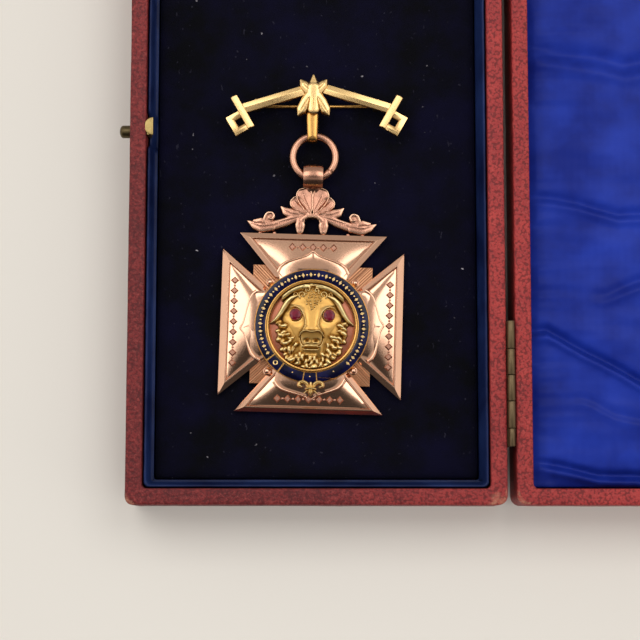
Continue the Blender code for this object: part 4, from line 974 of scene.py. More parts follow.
def makeMedallion():
    g = garter
    # Outer wall, channel floor, inner wall and raised rim in one turned ring
    radius, top, rim, low, high = g["radius"], g["top"], g["rim"], g["channel"], g["enamelTop"]
    outer, inner, hole = g["bandOuter"], g["bandInner"], g["discRadius"]
    profile = [
        (radius, 0.0), (radius, top - 0.15), (radius - 0.06, top - 0.04), (radius - 0.14, top),
        (outer + 0.06, top), (outer, top - 0.05), (outer, low), (inner, low), (inner, top - 0.05),
        (inner - 0.06, top), (inner - 0.2, top + 0.02), (inner - 0.3, rim - 0.06), (inner - 0.4, rim),
        (hole + 0.2, rim), (hole + 0.08, rim - 0.05), (hole, rim - 0.18), (hole, 0.0),
    ]
    ring = turnedPiece(profile, g["sides"], closed=True)
    gaps = [(enamelFields[i][2], enamelFields[(i + 1) % 5][1] + (360 if i == 4 else 0)) for i in range(5)]
    # Gold bars part the fields of the strap; between the band and its long tail the enamel runs on
    for start, end in ((a + 0.75, b - 0.75) for a, b in gaps[:4]):
        joinInto(ring, arcSlab(inner - 0.05, outer + 0.05, start, end,
                               [(0, low - 0.1), (0, top + 0.03), (1, top + 0.03), (1, low - 0.1)]))
    finishPiece("garter_ring", ring, yellowGoldBright, "case", ["garter_frame"], 30,
                medallionAt)
    middle = (inner + outer) / 2
    _, start, end = enamelFields[0]
    motifs = bmesh.new()
    for i in range(g["motifs"]):
        angle = math.radians(start + (end - start) * (i + 0.5) / g["motifs"])
        joinInto(motifs, lozengeMesh(*onCircle(middle, angle), 0.62, 0.92, low, high + 0.12, 0.6,
                                     angle - math.pi / 2))
        if i < g["motifs"] - 1:
            angle = math.radians(start + (end - start) * (i + 1) / g["motifs"])
            joinInto(motifs, beadMesh(*onCircle(middle, angle), 0.26, low, high + 0.1, 12))
    # Eyelets of the strap and the buckle's loop
    for angle, reach, size in garterEyelets:
        joinInto(motifs, beadMesh(*onCircle(reach, math.radians(angle)), size, low, high + 0.08, 12))
    loop = [(0.62, low), (0.62, high + 0.05), (0.5, high + 0.1), (0.36, high + 0.05), (0.36, low)]
    loopAt = onCircle(middle, math.radians(g["loopTurn"]))
    joinInto(motifs, turnedPiece(loop, 20, *loopAt, closed=True))
    # Edge of the strap's hanging end
    joinInto(motifs, sweptRidge(strapEdge, [0.13, 0.13], low, [high - low + 0.12] * 2, 20))
    finishPiece("garter_motifs", motifs, yellowGoldMatted, "case", (), 30, medallionAt)
    for node, start, end in enamelFields:
        # The last field runs on under the band's first
        clear = math.degrees(0.03 / inner)
        start, end = start - 0.7, end + (2.3 if node == "enamel_tail_right" else 0.7)
        section = [(0.0, low + 0.02), (0.0, high - 0.03), (0.06, high), (0.5, high + 0.02), (0.94, high),
                   (1.0, high - 0.03), (1.0, low + 0.02)]
        field = arcSlab(inner + 0.02, outer - 0.02, start + clear, end - clear, section)
        finishPiece(f"{node}_fired", field, enamel, "case", [node], 40, medallionAt)
    disc = turnedPiece(discProfile, 120)
    finishPiece("medallion_disc", disc, roseGoldDisc, "case", ["centre_disc"], 30, medallionAt)


makeMedallion()
print("medallion made")


# Head: forms first, then hair in locks

eyes = {"x": 4.2, "y": 2.65, "radius": 1.5, "seat": 1.9, "socket": 1.75, "turn": 0.2}
# Section of the thin collar that is pushed over a stone's girdle
eyeCollar = [(1.56, 2.2), (1.57, 2.92), (1.53, 3.0), (1.47, 3.02), (1.48, 2.95), (1.52, 2.9), (1.52, 2.2)]
# The bare face: height down its middle and half width, from the jaw to the crown
faceRows = {
    "y": (-8.6, -6.0, -4.0, -2.2, -0.6, 1.0, 2.7, 4.6, 6.6, 8.4, 10.2),
    "high": (1.2, 1.6, 2.1, 2.5, 2.6, 2.55, 2.5, 2.5, 2.5, 2.4, 2.0),
    "wide": (2.0, 3.2, 4.2, 4.9, 5.8, 6.5, 6.8, 6.6, 6.2, 5.6, 3.6),
}
# The nose and forehead stand above the cheeks inside this line
noseRows = {
    "y": (-2.6, -1.4, -0.2, 1.0, 2.7, 3.9, 4.7, 5.3), "x": (2.8, 2.4, 1.6, 1.6, 2.2, 2.85, 4.0, 6.4),
    "rise": (0.9, 0.95, 0.75, 0.55, 0.4, 0.3, 0.25, 0.2),
}
hairBase = ([(0, -0.8), (0, -3.4)], (7.7, 6.8), (1.8, 1.55), 2.8)
muzzle = {"y": -3.35, "deep": 2.1, "top": 3.6, "low": 2.55, "narrow": 2.5, "wide": 3.3}
muzzleStrokes = [
    ([(-1.9, -5.25), (0, -5.15), (1.6, -5.25)], (0.26, 0.32, 0.26), (2.5, 2.72, 2.5), 2.0),
    ([(-1.8, -6.1), (0, -6.15), (1.5, -6.1)], (0.3, 0.36, 0.3), (2.3, 2.5, 2.3), 2.0),
    ([(-1.1, -7.3), (1.0, -7.3)], (0.9, 0.9), (1.9, 1.9), 2.0),
]
# The muzzle's upper edge, a wavy roll that catches the light
muzzleEdge = ([(-3.05, -2.9), (-2.8, -2.2), (-2.2, -1.65), (-1.5, -1.4), (0, -1.8), (1.6, -1.35),
               (2.3, -1.7), (2.8, -2.3), (3.05, -2.9)],
              (0.2, 0.3, 0.4, 0.42, 0.42, 0.42, 0.4, 0.3, 0.2),
              (3.4, 3.7, 4.0, 4.12, 4.12, 4.12, 4.0, 3.7, 3.4), 2.0)
# Brow line over the eye and down the nose to the muzzle, laid on the form below it
browLine = [(6.2, 3.5), (5.65, 4.4), (4.3, 4.8), (2.9, 4.0), (2.2, 2.7), (1.65, 1.1), (1.6, -0.2),
            (2.3, -1.4), (2.9, -2.4)]
browForm = {"halfWidths": (0.14, 0.24, 0.28, 0.28, 0.26, 0.26, 0.28, 0.3, 0.24), "rise": 0.34}
# Horn and ear, the same on both sides: path; half widths; heights; bluntness
headPairs = [
    ([(1.2, 9.7), (3.4, 9.6), (5.3, 8.8), (7.0, 7.3), (7.6, 6.3)], (0.9, 1.15, 1.15, 0.8, 0.25),
     (3.1, 3.2, 3.1, 2.7, 2.0), 3.0),
    ([(3.9, 7.3), (5.2, 6.8), (6.4, 5.6), (7.2, 4.2), (8.1, 2.6), (9.2, 1.2), (10.4, 0.4)],
     (0.5, 0.75, 0.85, 0.8, 0.7, 0.5, 0.15), (2.7, 2.8, 2.7, 2.5, 2.2, 1.8, 1.1), 2.8),
]
# Inner fold of the ear, and the groove between horn and ear: path, half width, depth
headCuts = [
    ([(5.0, 6.6), (6.2, 5.3), (7.0, 4.0), (8.2, 2.2)], 0.14, 0.18),
    ([(4.0, 8.3), (5.4, 7.6), (6.7, 6.4)], 0.18, 0.5),
]
# Locks lie in ranks on an oval that reaches the rim below the chin
headHair = {
    "wide": 8.0, "deep": 9.6, "lockLength": 2.1, "lockHalf": 0.84, "lockLift": 0.58,
    "ranks": (0.97, 0.87, 0.77, 0.67, 0.57, 0.48, 0.4),
}
# Half width of the wool at each height, and its large curls
headWool = {"y": (3.8, 5.0, 6.2, 7.0, 7.7, 8.6, 9.6, 10.3),
            "half": (0.3, 0.95, 1.75, 2.5, 3.7, 3.4, 2.6, 1.5), "pitch": 0.8}
headSpirals = [(-2.6, 7.5, 0.9), (2.65, 7.65, 0.9), (-4.2, 7.6, 0.6), (4.3, 7.7, 0.55), (-1.2, 8.9, 0.65),
               (0.9, 8.7, 0.6)]
# One thick lock lies across the crown and turns under on the right
crownLock = ([(-1.6, 9.6), (0.1, 10.0), (2.0, 9.9), (3.0, 9.3), (2.8, 8.5)],
             (0.3, 0.45, 0.48, 0.38, 0.15), (2.7, 3.1, 3.15, 3.0, 2.7), 2.0)
# Nostril and the lip below it, which catches the light: middle, half size, depth or height
nostril = {"hollow": (1.15, -3.8, 0.6, 0.32, 0.5), "lip": (0.95, -4.38, 0.42, 0.16, 0.28)}
mouthLine = ([(-2.2, -5.7), (0, -5.65), (2.0, -5.7)], 0.18, 0.5)


def faceForm(gx, gy):
    high, wide = (np.interp(gy, faceRows["y"], faceRows[key]) for key in ("high", "wide"))
    share = np.abs(gx) / wide
    form = high - (high - 1.3) * share**3
    edge, rise = (np.interp(gy, noseRows["y"], noseRows[key]) for key in ("x", "rise"))
    form += rise * 0.5 * (1 - np.tanh((np.abs(gx) - edge) / 0.5)) * np.clip((gy + 8) / 4, 0, 1)
    for side in (-1, 1):
        away = np.hypot((gx - side * (eyes["x"] + 0.1)) / 2.5, (gy - eyes["y"] + 0.2) / 2.2)
        form -= 0.4 * np.exp(-(away**4))
    return np.where((share < 1.12) & (gy > -8.8), form, noMetal)


def hairLocks(height, gx, gy, rnd, formAt):
    # Leaf-shaped locks over the cheeks and beard, rank behind rank, each bending over the one below it
    h = headHair
    for rank, share in enumerate(h["ranks"]):
        count = int(5 + 17 * share)
        for k in range(count + 1):
            angle = math.radians(-190 + 200 * (k + 0.5 * (rank % 2)) / count + rnd.uniform(-4, 4))
            sides, down = math.cos(angle), math.sin(angle)
            x, y = h["wide"] * share * sides, -0.9 + h["deep"] * share * down
            lean = angle + rnd.uniform(-0.35, 0.35) - 0.3 * sides
            length = h["lockLength"] * rnd.uniform(0.75, 1.1) * (0.7 if rank == 0 else 1.0)
            swing = rnd.choice((-1, 1)) * rnd.uniform(0.3, 0.9)
            wide = h["lockHalf"] * rnd.uniform(0.75, 1.15)
            lift = h["lockLift"] * rnd.uniform(0.6, 1.3)
            if y > 1.2 or (y > -7.0 and abs(x) < max(2.4, 5.6 + 0.55 * y)) or (y > -5 and abs(x) < 3.5):
                continue
            path = [(x, y)]
            for bend in (-0.5 * swing, 0.1 * swing, 0.8 * swing, 1.5 * swing):
                lastX, lastY = path[-1]
                path.append((lastX + math.cos(lean + bend) * length / 4,
                             lastY + math.sin(lean + bend) * length / 4))
            root = formAt(*path[0])
            tops = (root + lift * 0.3, root + lift, root + lift * 0.95, root + lift * 0.5)
            layStroke(height, gx, gy, path, (wide * 0.5, wide, wide * 0.8, wide * 0.15), tops, 2.0, 18)


def browCurls(height, gx, gy, rnd, formAt):
    # Wool on the brow: small knobs close together, in a V that ends between the eyes
    rows, halves, pitch = headWool["y"], headWool["half"], headWool["pitch"]
    reach = np.interp(gy, rows, halves)
    height -= 0.12 * ((np.abs(gx) < reach - 0.1) & (gy > rows[0]) & (gy < rows[-1]))
    for j in range(int((rows[-1] - rows[0]) / pitch) + 1):
        y = rows[0] + j * pitch
        half = float(np.interp(y, rows, halves))
        for i in range(int(2 * half / pitch) + 1):
            x = -half + i * pitch + (0.5 * pitch if j % 2 else 0) + rnd.uniform(-0.14, 0.14)
            cy = y + rnd.uniform(-0.14, 0.14)
            turn = rnd.uniform(0, 2 * math.pi)
            if any(math.hypot(x - sx, cy - sy) < size + 0.1 for sx, sy, size in headSpirals[:2]):
                continue
            top = formAt(x, cy) + rnd.uniform(0.3, 0.5)
            ring = [(x + 0.2 * math.cos(turn + a), cy + 0.2 * math.sin(turn + a)) for a in (0, 1.3, 2.6)]
            layStroke(height, gx, gy, ring, (0.24, 0.3, 0.2), (top, top, top - 0.15), 2.0, 12)
    for middleX, middleY, size in headSpirals:
        way = -1 if middleX < 0 else 1
        spiral = [(middleX + way * size * math.cos(a) * (1 - a / 8.5),
                   middleY + size * math.sin(a) * (1 - a / 8.5))
                  for a in np.linspace(-0.9, 6.4, 14)]
        top = formAt(middleX, middleY) + 0.5
        layStroke(height, gx, gy, spiral, (0.28, 0.26, 0.2), (top, top, top - 0.1), 2.0, 40)
    layStroke(height, gx, gy, *crownLock)


def headHeight(gx, gy):
    rnd = random.Random(11)
    height = np.full(gx.shape, noMetal)
    layStroke(height, gx, gy, *hairBase)
    height = np.maximum(height, faceForm(gx, gy))
    base = height.copy()
    step = gx[0, 1] - gx[0, 0]

    def formAt(x, y):
        i = int(np.clip(round((x - gx[0, 0]) / step), 0, gx.shape[1] - 1))
        j = int(np.clip(round((y - gy[0, 0]) / step), 0, gx.shape[0] - 1))
        return max(0.6, float(base[j, i]))

    hairLocks(height, gx, gy, rnd, formAt)
    # Muzzle: rounded, falling away from its bright upper edge
    m = muzzle
    wide = np.interp(gy, (-5.4, -1.6), (m["narrow"], m["wide"]))
    share = (np.abs(gx) / wide) ** 3 + (np.abs(gy - m["y"]) / m["deep"]) ** 4
    fall = np.clip((m["y"] + m["deep"] - gy) / (2 * m["deep"]), 0, 1)
    pad = m["top"] - (m["top"] - m["low"]) * fall**0.7 - 0.45 * np.clip(np.abs(gx) / wide, 0, 1) ** 2
    pad = pad * np.clip((1 - share) * 3, 0, 1) ** 0.4
    inside = share < 1
    height = np.where(inside, np.maximum(pad, np.minimum(height, 2.0)), height)
    for form in muzzleStrokes:
        layStroke(height, gx, gy, *form)
    for side in (-1, 1):
        tops = [formAt(side * x, y) + browForm["rise"] for x, y in browLine]
        layStroke(height, gx, gy, mirrored(browLine, side), browForm["halfWidths"], tops)
        for path, widths, tops, blunt in headPairs:
            layStroke(height, gx, gy, mirrored(path, side), widths, tops, blunt)
        for path, *form in headCuts:
            cutLine(height, gx, gy, mirrored(path, side), *form)
    layStroke(height, gx, gy, *muzzleEdge)
    browCurls(height, gx, gy, rnd, formAt)
    for side in (-1, 1):
        away = np.hypot(gx - side * eyes["x"], gy - eyes["y"])
        bowl = np.clip((eyes["socket"] - away) / 0.15, 0, 1)
        height = height * (1 - bowl) + np.minimum(height, eyes["seat"] - 0.35) * bowl
        x, y, wideX, wideY, deep = nostril["hollow"]
        hollow = np.hypot((gx - side * x) / wideX, (gy - y) / wideY)
        height -= deep * np.exp(-(hollow**2))
        x, y, wideX, wideY, high = nostril["lip"]
        lip = np.hypot((gx - side * x) / wideX, (gy - y) / wideY)
        height = height + high * np.exp(-(lip**2)) * (height > 0)
    cutLine(height, gx, gy, *mouthLine)
    # It ends short of the garter's rim
    return np.minimum(height, (garter["discRadius"] - 0.07 - np.hypot(gx, gy)) * 6)


def makeHead():
    back = 0.5
    step = 0.1
    bm = reliefPiece(headHeight, (-10.9, 10.9), (-11.2, 10.9), step, back, back + 0.2, 0.4)
    finishPiece("head_chased", bm, yellowGold, "case", ["buffalo_head"], 180, medallionAt)


def stoneMesh():
    # Round brilliant: table, star, kite and girdle facets above, eight mains below
    radius, seat = eyes["radius"], 0.5 + eyes["seat"]
    bm = bmesh.new()

    def ringAt(r, z, count, start):
        return [bm.verts.new((x, y, seat + z)) for x, y in circlePoints(radius * r, count, start=start)]

    step = math.pi / 8
    tableRing = ringAt(0.56, 1.12, 8, 0.0)
    kite = ringAt(0.8, 0.9, 8, step)
    girdle = ringAt(1.0, 0.6, 16, 0.0)
    belly = ringAt(1.0, 0.5, 16, 0.0)
    point = bm.verts.new((0, 0, seat - 0.18))
    bm.faces.new(tableRing)
    for i in range(8):
        j = (i + 1) % 8
        g0, g1, g2 = girdle[2 * i], girdle[2 * i + 1], girdle[(2 * i + 2) % 16]
        bm.faces.new((tableRing[i], kite[i], tableRing[j]))
        bm.faces.new((tableRing[i], g0, kite[i]))
        bm.faces.new((g0, g1, kite[i]))
        bm.faces.new((g1, g2, kite[i]))
        bm.faces.new((kite[i], g2, tableRing[j]))
        bm.faces.new((belly[2 * i], belly[2 * i + 1], point))
        bm.faces.new((belly[2 * i + 1], belly[(2 * i + 2) % 16], point))
    for i in range(16):
        j = (i + 1) % 16
        bm.faces.new((girdle[i], belly[i], belly[j], girdle[j]))
    return bm


def makeEyes():
    for name, side in (("eye_left", -1), ("eye_right", 1)):
        place = medallionAt @ Matrix.Translation((side * eyes["x"], eyes["y"], 0))
        place = place @ Matrix.Rotation(eyes["turn"] * side, 4, "Z")
        finishPiece(f"{name}_cut", stoneMesh(), redStone, "case", [name], 1, place)
        collar = turnedPiece(eyeCollar, 40, closed=True)
        finishPiece(f"{name}_collar", collar, yellowGold, "case", (), 40, place)


makeHead()
makeEyes()
print("head and stones made")


# Studs in the plate's corners, and the fleur-de-lis at the strap's end

# Radius of the ball, and radius and height of its collar
studRadius = 0.72
studCollar = [(0.95, 0.0), (0.95, 0.18), (0.8, 0.26), (0.62, 0.3)]


def makeStuds():
    for number in range(1, 5):
        low, high = nodeBox(f"stud_{number}")
        x, y = (low[:2] + high[:2]) / 2
        base, top = float(low[2]), float(high[2])
        profile = [(r, base + z) for r, z in studCollar]
        for k in range(9):
            angle = math.radians(-35 + 125 * k / 8)
            height = base + 0.5 + (top - base - 0.5) * math.sin(max(angle, -0.3))
            profile.append((max(0.02, studRadius * math.cos(angle)), height))
        finishPiece(f"stud_{number}_ball", turnedPiece(profile, 28, x, y), roseGold, "case",
                    [f"stud_{number}"], 50)


finialPlace = {"at": (0.15, -15.1, 0), "stretch": (0.94, 0.8, 1, 1)}
# Path, half widths and heights of the petals; path, half width and depth of the graver's lines
finialWork = {
    "strokes": [
        ([(0, 1.0), (0, -0.6), (0, -1.9), (0, -3.1)], (0.35, 0.75, 0.8, 0.15), (0.8, 1.05, 0.95, 0.5)),
        ([(-1.2, -0.9), (0, -0.7), (1.2, -0.9)], (0.35, 0.35, 0.35), (1.15, 1.2, 1.15)),
    ],
    "pairs": [
        ([(0.5, -0.9), (1.0, 0.7), (2.0, 1.35), (3.0, 1.0), (3.2, 0.0), (2.4, -0.3)],
         (0.45, 0.6, 0.6, 0.55, 0.5, 0.35), (0.7, 0.85, 0.9, 0.85, 0.8, 0.75)),
        ([(0.9, -1.5), (1.7, -2.3)], (0.4, 0.15), (0.7, 0.4)),
    ],
    "cutPairs": [([(0.7, -0.3), (1.3, 0.7), (2.3, 1.2), (3.0, 0.6)], 0.1, 0.2)],
    "cuts": [([(0, 0.6), (0, -2.6)], 0.1, 0.2)],
}


def makeFinial():
    back = garter["top"] + metalGap
    bm = reliefPiece(lambda gx, gy: chasedHeight(gx, gy, finialWork), (-4.2, 4.2), (-3.8, 2.6), 0.08,
                     back, back + 0.3, 0.25)
    place = medallionAt @ Matrix.Translation(finialPlace["at"]) @ Matrix.Diagonal(finialPlace["stretch"])
    finishPiece("finial_chased", bm, yellowGold, "case", ["strap_finial"], 180, place)


makeStuds()
makeFinial()
print("studs and finial made")


# Crest: shell of four lobes over an arch, with leafy scrolls

crestLobes = [
    # root, tip, half width, height, veins
    ((0.5, 27.4), (2.75, 34.3), 2.25, 0.95, 1),
    ((1.2, 27.4), (5.2, 31.6), 1.85, 0.85, 1),
]
# Arch, scrolls and leaf ends on one side: path, half widths, heights
crestStrokes = [
    ([(0, 27.15), (1.2, 27.05), (2.2, 26.4), (2.7, 25.2)], (0.6, 0.6, 0.65, 0.8), (1.1, 1.1, 1.0, 0.85)),
    ([(2.0, 27.3), (4.6, 27.5), (6.5, 28.0), (8.0, 29.4)], (1.0, 1.35, 1.1, 0.12),
     (0.85, 0.85, 0.75, 0.45)),
    ([(2.4, 27.2), (4.2, 26.6), (6.4, 25.5), (9.2, 24.6), (11.4, 24.3)], (0.9, 1.05, 1.1, 1.15, 1.1),
     (0.85, 0.85, 0.8, 0.8, 0.7)),
    ([(10.0, 24.2), (12.6, 23.9), (14.4, 24.4), (16.3, 25.5)], (1.1, 1.35, 1.05, 0.12),
     (0.85, 0.9, 0.7, 0.3)),
    ([(10.4, 24.9), (12.8, 25.4), (14.6, 25.5)], (0.6, 1.0, 0.4), (0.8, 0.75, 0.5)),
    ([(10.75, 26.6), (10.8, 26.7)], (1.35, 1.35), (0.75, 0.75)),
    ([(11.9, 24.6), (12.15, 26.0), (11.5, 27.5), (10.2, 27.75), (9.5, 26.9), (10.0, 26.0), (10.9, 26.2),
      (10.9, 26.8)],
     (0.4, 0.4, 0.36, 0.34, 0.32, 0.3, 0.26, 0.2), (0.85, 0.98, 1.02, 1.02, 0.98, 0.95, 0.95, 0.95)),
    ([(3.1, 26.4), (2.95, 24.7), (2.95, 23.4), (2.95, 22.6)], (0.8, 1.3, 1.0, 0.4),
     (0.85, 0.95, 0.85, 0.6)),
]
# Veins in the leaf ends and down the scrolls, and the shell's folds: path, half width, depth
crestCuts = [
    ([(5.0, 26.1), (9.4, 24.5), (12.4, 23.9), (15.2, 24.8)], 0.12, 0.22),
    ([(11.6, 24.8), (13.2, 25.1), (14.6, 25.0)], 0.1, 0.18),
    ([(3.3, 26.6), (6.0, 25.9), (8.6, 25.1)], 0.1, 0.15),
    ([(3.05, 25.2), (3.05, 23.2)], 0.12, 0.2),
    ([(0.5, 28.4), (1.5, 30.6), (2.4, 32.6)], 0.12, 0.2),
    ([(1.6, 28.3), (3.2, 29.7), (4.5, 30.8)], 0.12, 0.18),
    ([(0.9, 27.9), (2.6, 29.9), (4.0, 31.9)], 0.12, 0.35),
    ([(2.4, 27.9), (4.6, 28.6), (6.0, 29.6)], 0.12, 0.3),
    ([(3.0, 27.2), (5.0, 27.5), (7.0, 28.4)], 0.1, 0.15),
]


def layLobe(height, gx, gy, root, tip, half, top, veins):
    # A scallop: cupped, with a raised rim and veins that fan from its root
    root, tip = np.array(root), np.array(tip)
    axis = tip - root
    length = np.linalg.norm(axis)
    axis = axis / length
    along = ((gx - root[0]) * axis[0] + (gy - root[1]) * axis[1]) / length
    across = -(gx - root[0]) * axis[1] + (gy - root[1]) * axis[0]
    width = half * np.clip(np.sin(np.clip(along, 0, 1) ** 0.75 * math.pi * 0.62), 0.25, None)
    width = width * np.sqrt(np.clip(1 - np.clip((along - 0.72) / 0.28, 0, 1) ** 2, 0, 1))
    share = np.abs(across) / np.maximum(width, 1e-3)
    inside = (share < 1) & (along > -0.02) & (along < 1)
    edge = np.clip((1 - share) * np.maximum(width, 0.01), 0, None)
    edge = np.minimum(edge, np.clip(1 - along, 0, None) * length)
    cup = top * (0.72 + 0.28 * np.exp(-((edge - 0.28) / 0.2) ** 2)) * np.clip(edge / 0.14, 0, 1) ** 0.5
    fan = np.cos(np.clip(across / np.maximum(width, 0.2), -1, 1) * math.pi * veins)
    cup = cup - 0.05 * fan * np.clip(along * 2, 0, 1) * np.clip(edge / 0.4, 0, 1)
    cup = cup + 0.25 * np.clip(1 - along * 1.6, 0, 1)
    np.maximum(height, np.where(inside, cup, noMetal), out=height)


def crestHeight(gx, gy):
    height = np.full(gx.shape, noMetal)
    for side in (-1, 1):
        for root, tip, half, top, veins in reversed(crestLobes):
            layLobe(height, gx * side, gy, root, tip, half, top, veins)
        for path, widths, tops in crestStrokes:
            layStroke(height, gx, gy, mirrored(path, side), widths, tops, 4.5)
        for path, *form in crestCuts:
            cutLine(height, gx, gy, mirrored(path, side), *form)
    return height


# Beads of solder where it stands on the top arm
solderPlaces = (-13.0, -9.4, -3.2, 3.0, 9.2, 12.8)
# Neck between the shell and the barrel: path, half widths, heights
bailNeck = ([(0, 31.6), (0, 33.3), (0, 34.2), (0, 36.6)], (0.9, 2.1, 2.4, 2.4), (0.95, 1.6, 2.4, 3.6))
crestSizes = {"x": -0.65, "back": 0.4, "thickness": 0.7, "bailY": 37.3, "bailRadius": 2.77, "bailEnd": 2.45,
              "bore": 1.75, "length": 4.95, "oval": 1.12}


def makeCrest():
    c = crestSizes
    step = 0.1
    relief = reliefPiece(crestHeight, (-17.0, 17.0), (21.9, 35.4), step, c["back"],
                         c["back"] + c["thickness"], 0.35)
    for x in solderPlaces:
        solder = bmesh.new()
        bmesh.ops.create_icosphere(solder, subdivisions=2, radius=0.5)
        solder.transform(Matrix.Translation((x, 22.55, c["back"] + 0.5))
                         @ Matrix.Diagonal((1.1, 1.0, 0.7, 1)))
        joinInto(relief, solder)
    place = medalAt @ Matrix.Translation((c["x"], 0, 0))
    finishPiece("crest_chased", relief, roseGoldChased, "case", (), 180, place)
    path, widths, tops = bailNeck
    neck = sweptRidge(path, widths, c["back"], tops, 16)
    finishPiece("bail_neck", neck, roseGoldChased, "case", (), 60, place)
    # Barrel, widest in the middle, pressed a little oval, with its bore
    half, end, bore = c["length"] / 2, c["bailEnd"], c["bore"]
    profile = []
    for k in range(13):
        share = -1 + 2 * k / 12
        profile.append((share * half, c["bailRadius"] - (c["bailRadius"] - end) * abs(share) ** 3))
    lip = [(0.02, end - 0.1), (0.0, end - 0.2), (0.0, bore + 0.15), (0.12, bore)]
    profile += [(half - x, r) for x, r in lip] + [(x - half, r) for x, r in reversed(lip)]
    barrel = bmesh.new()
    middleY = c["bailY"] - 0.25
    rings = [[(x, middleY + c["oval"] * a, c["bailRadius"] + b) for a, b in circlePoints(r, 64)]
             for x, r in profile]
    loftRings(barrel, rings, closed=True)
    finishPiece("bail_barrel", barrel, roseGoldWire, "case", (), 30, place)


makeCrest()
print("crest and bail made")


# Suspension ring: drawn wire, bent round and soldered, with its seam showing

ringSizes = {"wire": 1.0, "steps": 128, "sides": 24, "seamAngle": -42.0}


def makeRing():
    low, high = nodeBox("suspension_ring")
    middle = (low + high) / 2
    radius = float(high[0] - low[0]) / 2 - ringSizes["wire"] + 0.2
    bm = bmesh.new()
    layer = bm.verts.layers.float.new("hollow")
    rings, values = [], []
    for i in range(ringSizes["steps"]):
        angle = 2 * math.pi * i / ringSizes["steps"]
        away = abs((math.degrees(angle) - ringSizes["seamAngle"] + 180) % 360 - 180)
        seam = math.exp(-(away / 2.2) ** 2)
        wire = ringSizes["wire"] * (1 - 0.1 * seam)
        rings.append([(*onCircle(radius + a, angle, middle[0], middle[1]), middle[2] + b)
                      for a, b in circlePoints(wire, ringSizes["sides"])])
        values.append(0.9 * seam)
    loftRings(bm, rings, closed=True, layer=layer, values=values)
    finishPiece("ring_drawn", bm, roseGoldWire, "case", ["suspension_ring"], 180)


makeRing()
print("ring made")


# Brooch bar: strapwork with knots, leaf boss and strap loop

brooch = {
    "knotX": 19.4, "knotY": 3.33, "side": 5.4, "strip": 1.8, "turn": 29.5, "back": 14.9,
    "thick": 1.2, "rise": 0.45, "stripLength": 9.2, "lowEnd": (18.6, 5.48), "peak": 11.2, "breadth": 2.7,
    "bossX": -0.8, "loopX": -1.1, "loopNear": -1.84, "loopFar": 7.0, "loopBand": 0.5, "loopHeight": 3.3,
    "loopWide": 3.2, "loopNarrow": 2.4, "pinY": 8.1, "pinZ": 12.3, "pinR": 0.45, "pinHalf": 15.6,
    "ear": 15.0,
}
# Path, half widths, heights and bluntness of the leaves; path, half width and depth of their veins
bossWork = {
    "strokes": [
        ([(0, 11.6), (0, 6.7)], (2.0, 1.6), (1.5, 1.3), 3.5),
        ([(0, 12.4), (0, 15.2)], (1.6, 0.4), (1.4, 0.8), 2.0),
    ],
    "pairs": [
        ([(0.5, 10.6), (1.9, 8.4), (3.0, 6.6), (3.9, 5.0)], (1.3, 1.5, 1.3, 0.2), (1.35, 1.25, 1.05, 0.7),
         3.5),
        ([(1.0, 11.4), (2.4, 12.8), (3.2, 14.0)], (1.5, 1.3, 0.4), (1.3, 1.1, 0.6), 2.0),
    ],
    "cutPairs": [
        ([(1.0, 9.6), (2.3, 7.6), (3.4, 5.7)], 0.12, 0.22),
        ([(0.9, 9.4), (1.3, 7.8), (1.5, 6.4)], 0.14, 0.3),
        ([(1.2, 11.6), (2.5, 13.0)], 0.12, 0.2),
    ],
    "cuts": [([(0, 9.6), (0, 7.0)], 0.12, 0.2)],
}


def stripMesh(start, end, width, low, high):
    # Strap with two slopes that meet in a soft ridge
    direction = (Vector(end) - Vector(start)).normalized()
    side = Vector((-direction.y, direction.x))
    section = [(0.0, low), (0.0, high - 0.4), (0.1, high - 0.28), (width * 0.5, high - 0.02),
               (width * 0.55, high), (width * 0.6, high - 0.02), (width - 0.1, high - 0.24),
               (width, high - 0.4), (width, low)]
    rings = []
    for share, drop in ((0.0, 0.12), (0.02, 0.0), (0.98, 0.0), (1.0, 0.12)):
        x, y = (start[i] + (end[i] - start[i]) * share for i in (0, 1))
        rings.append([(x + side.x * (s - width / 2), y + side.y * (s - width / 2),
                       z - (drop if z > high - 0.5 else 0))
                      for s, z in section])
    bm = bmesh.new()
    layer = bm.verts.layers.float.new("hollow")
    for ring in loftRings(bm, rings):
        for vert, (s, z) in zip(ring, section):
            # Painted shade: the strap's lower sides are marked for the darker bloom colour
            vert[layer] = 0.6 if z < high - 0.3 else 0.0
    return bm


def knotMesh(half, strip, low, high):
    # Mitred square frame with an outer and an inner slope, so each side takes the light differently
    section = [(0.0, low), (0.0, high - 0.35), (0.08, high - 0.22), (strip * 0.4, high - 0.02),
               (strip * 0.45, high), (strip * 0.5, high - 0.03), (strip - 0.1, high - 0.4),
               (strip, high - 0.55), (strip, low)]
    bm = bmesh.new()
    square = ((1, 1), (-1, 1), (-1, -1), (1, -1))
    layer = bm.verts.layers.float.new("hollow")
    rings = [[(x * (half - inset), y * (half - inset), z) for x, y in square] for inset, z in section]
    # Painted shade: the frame's lower sides are marked for the darker bloom colour
    loftRings(bm, rings, closed=True, layer=layer,
              values=[0.6 if z < high - 0.3 else 0.0 for inset, z in section])
    return bm


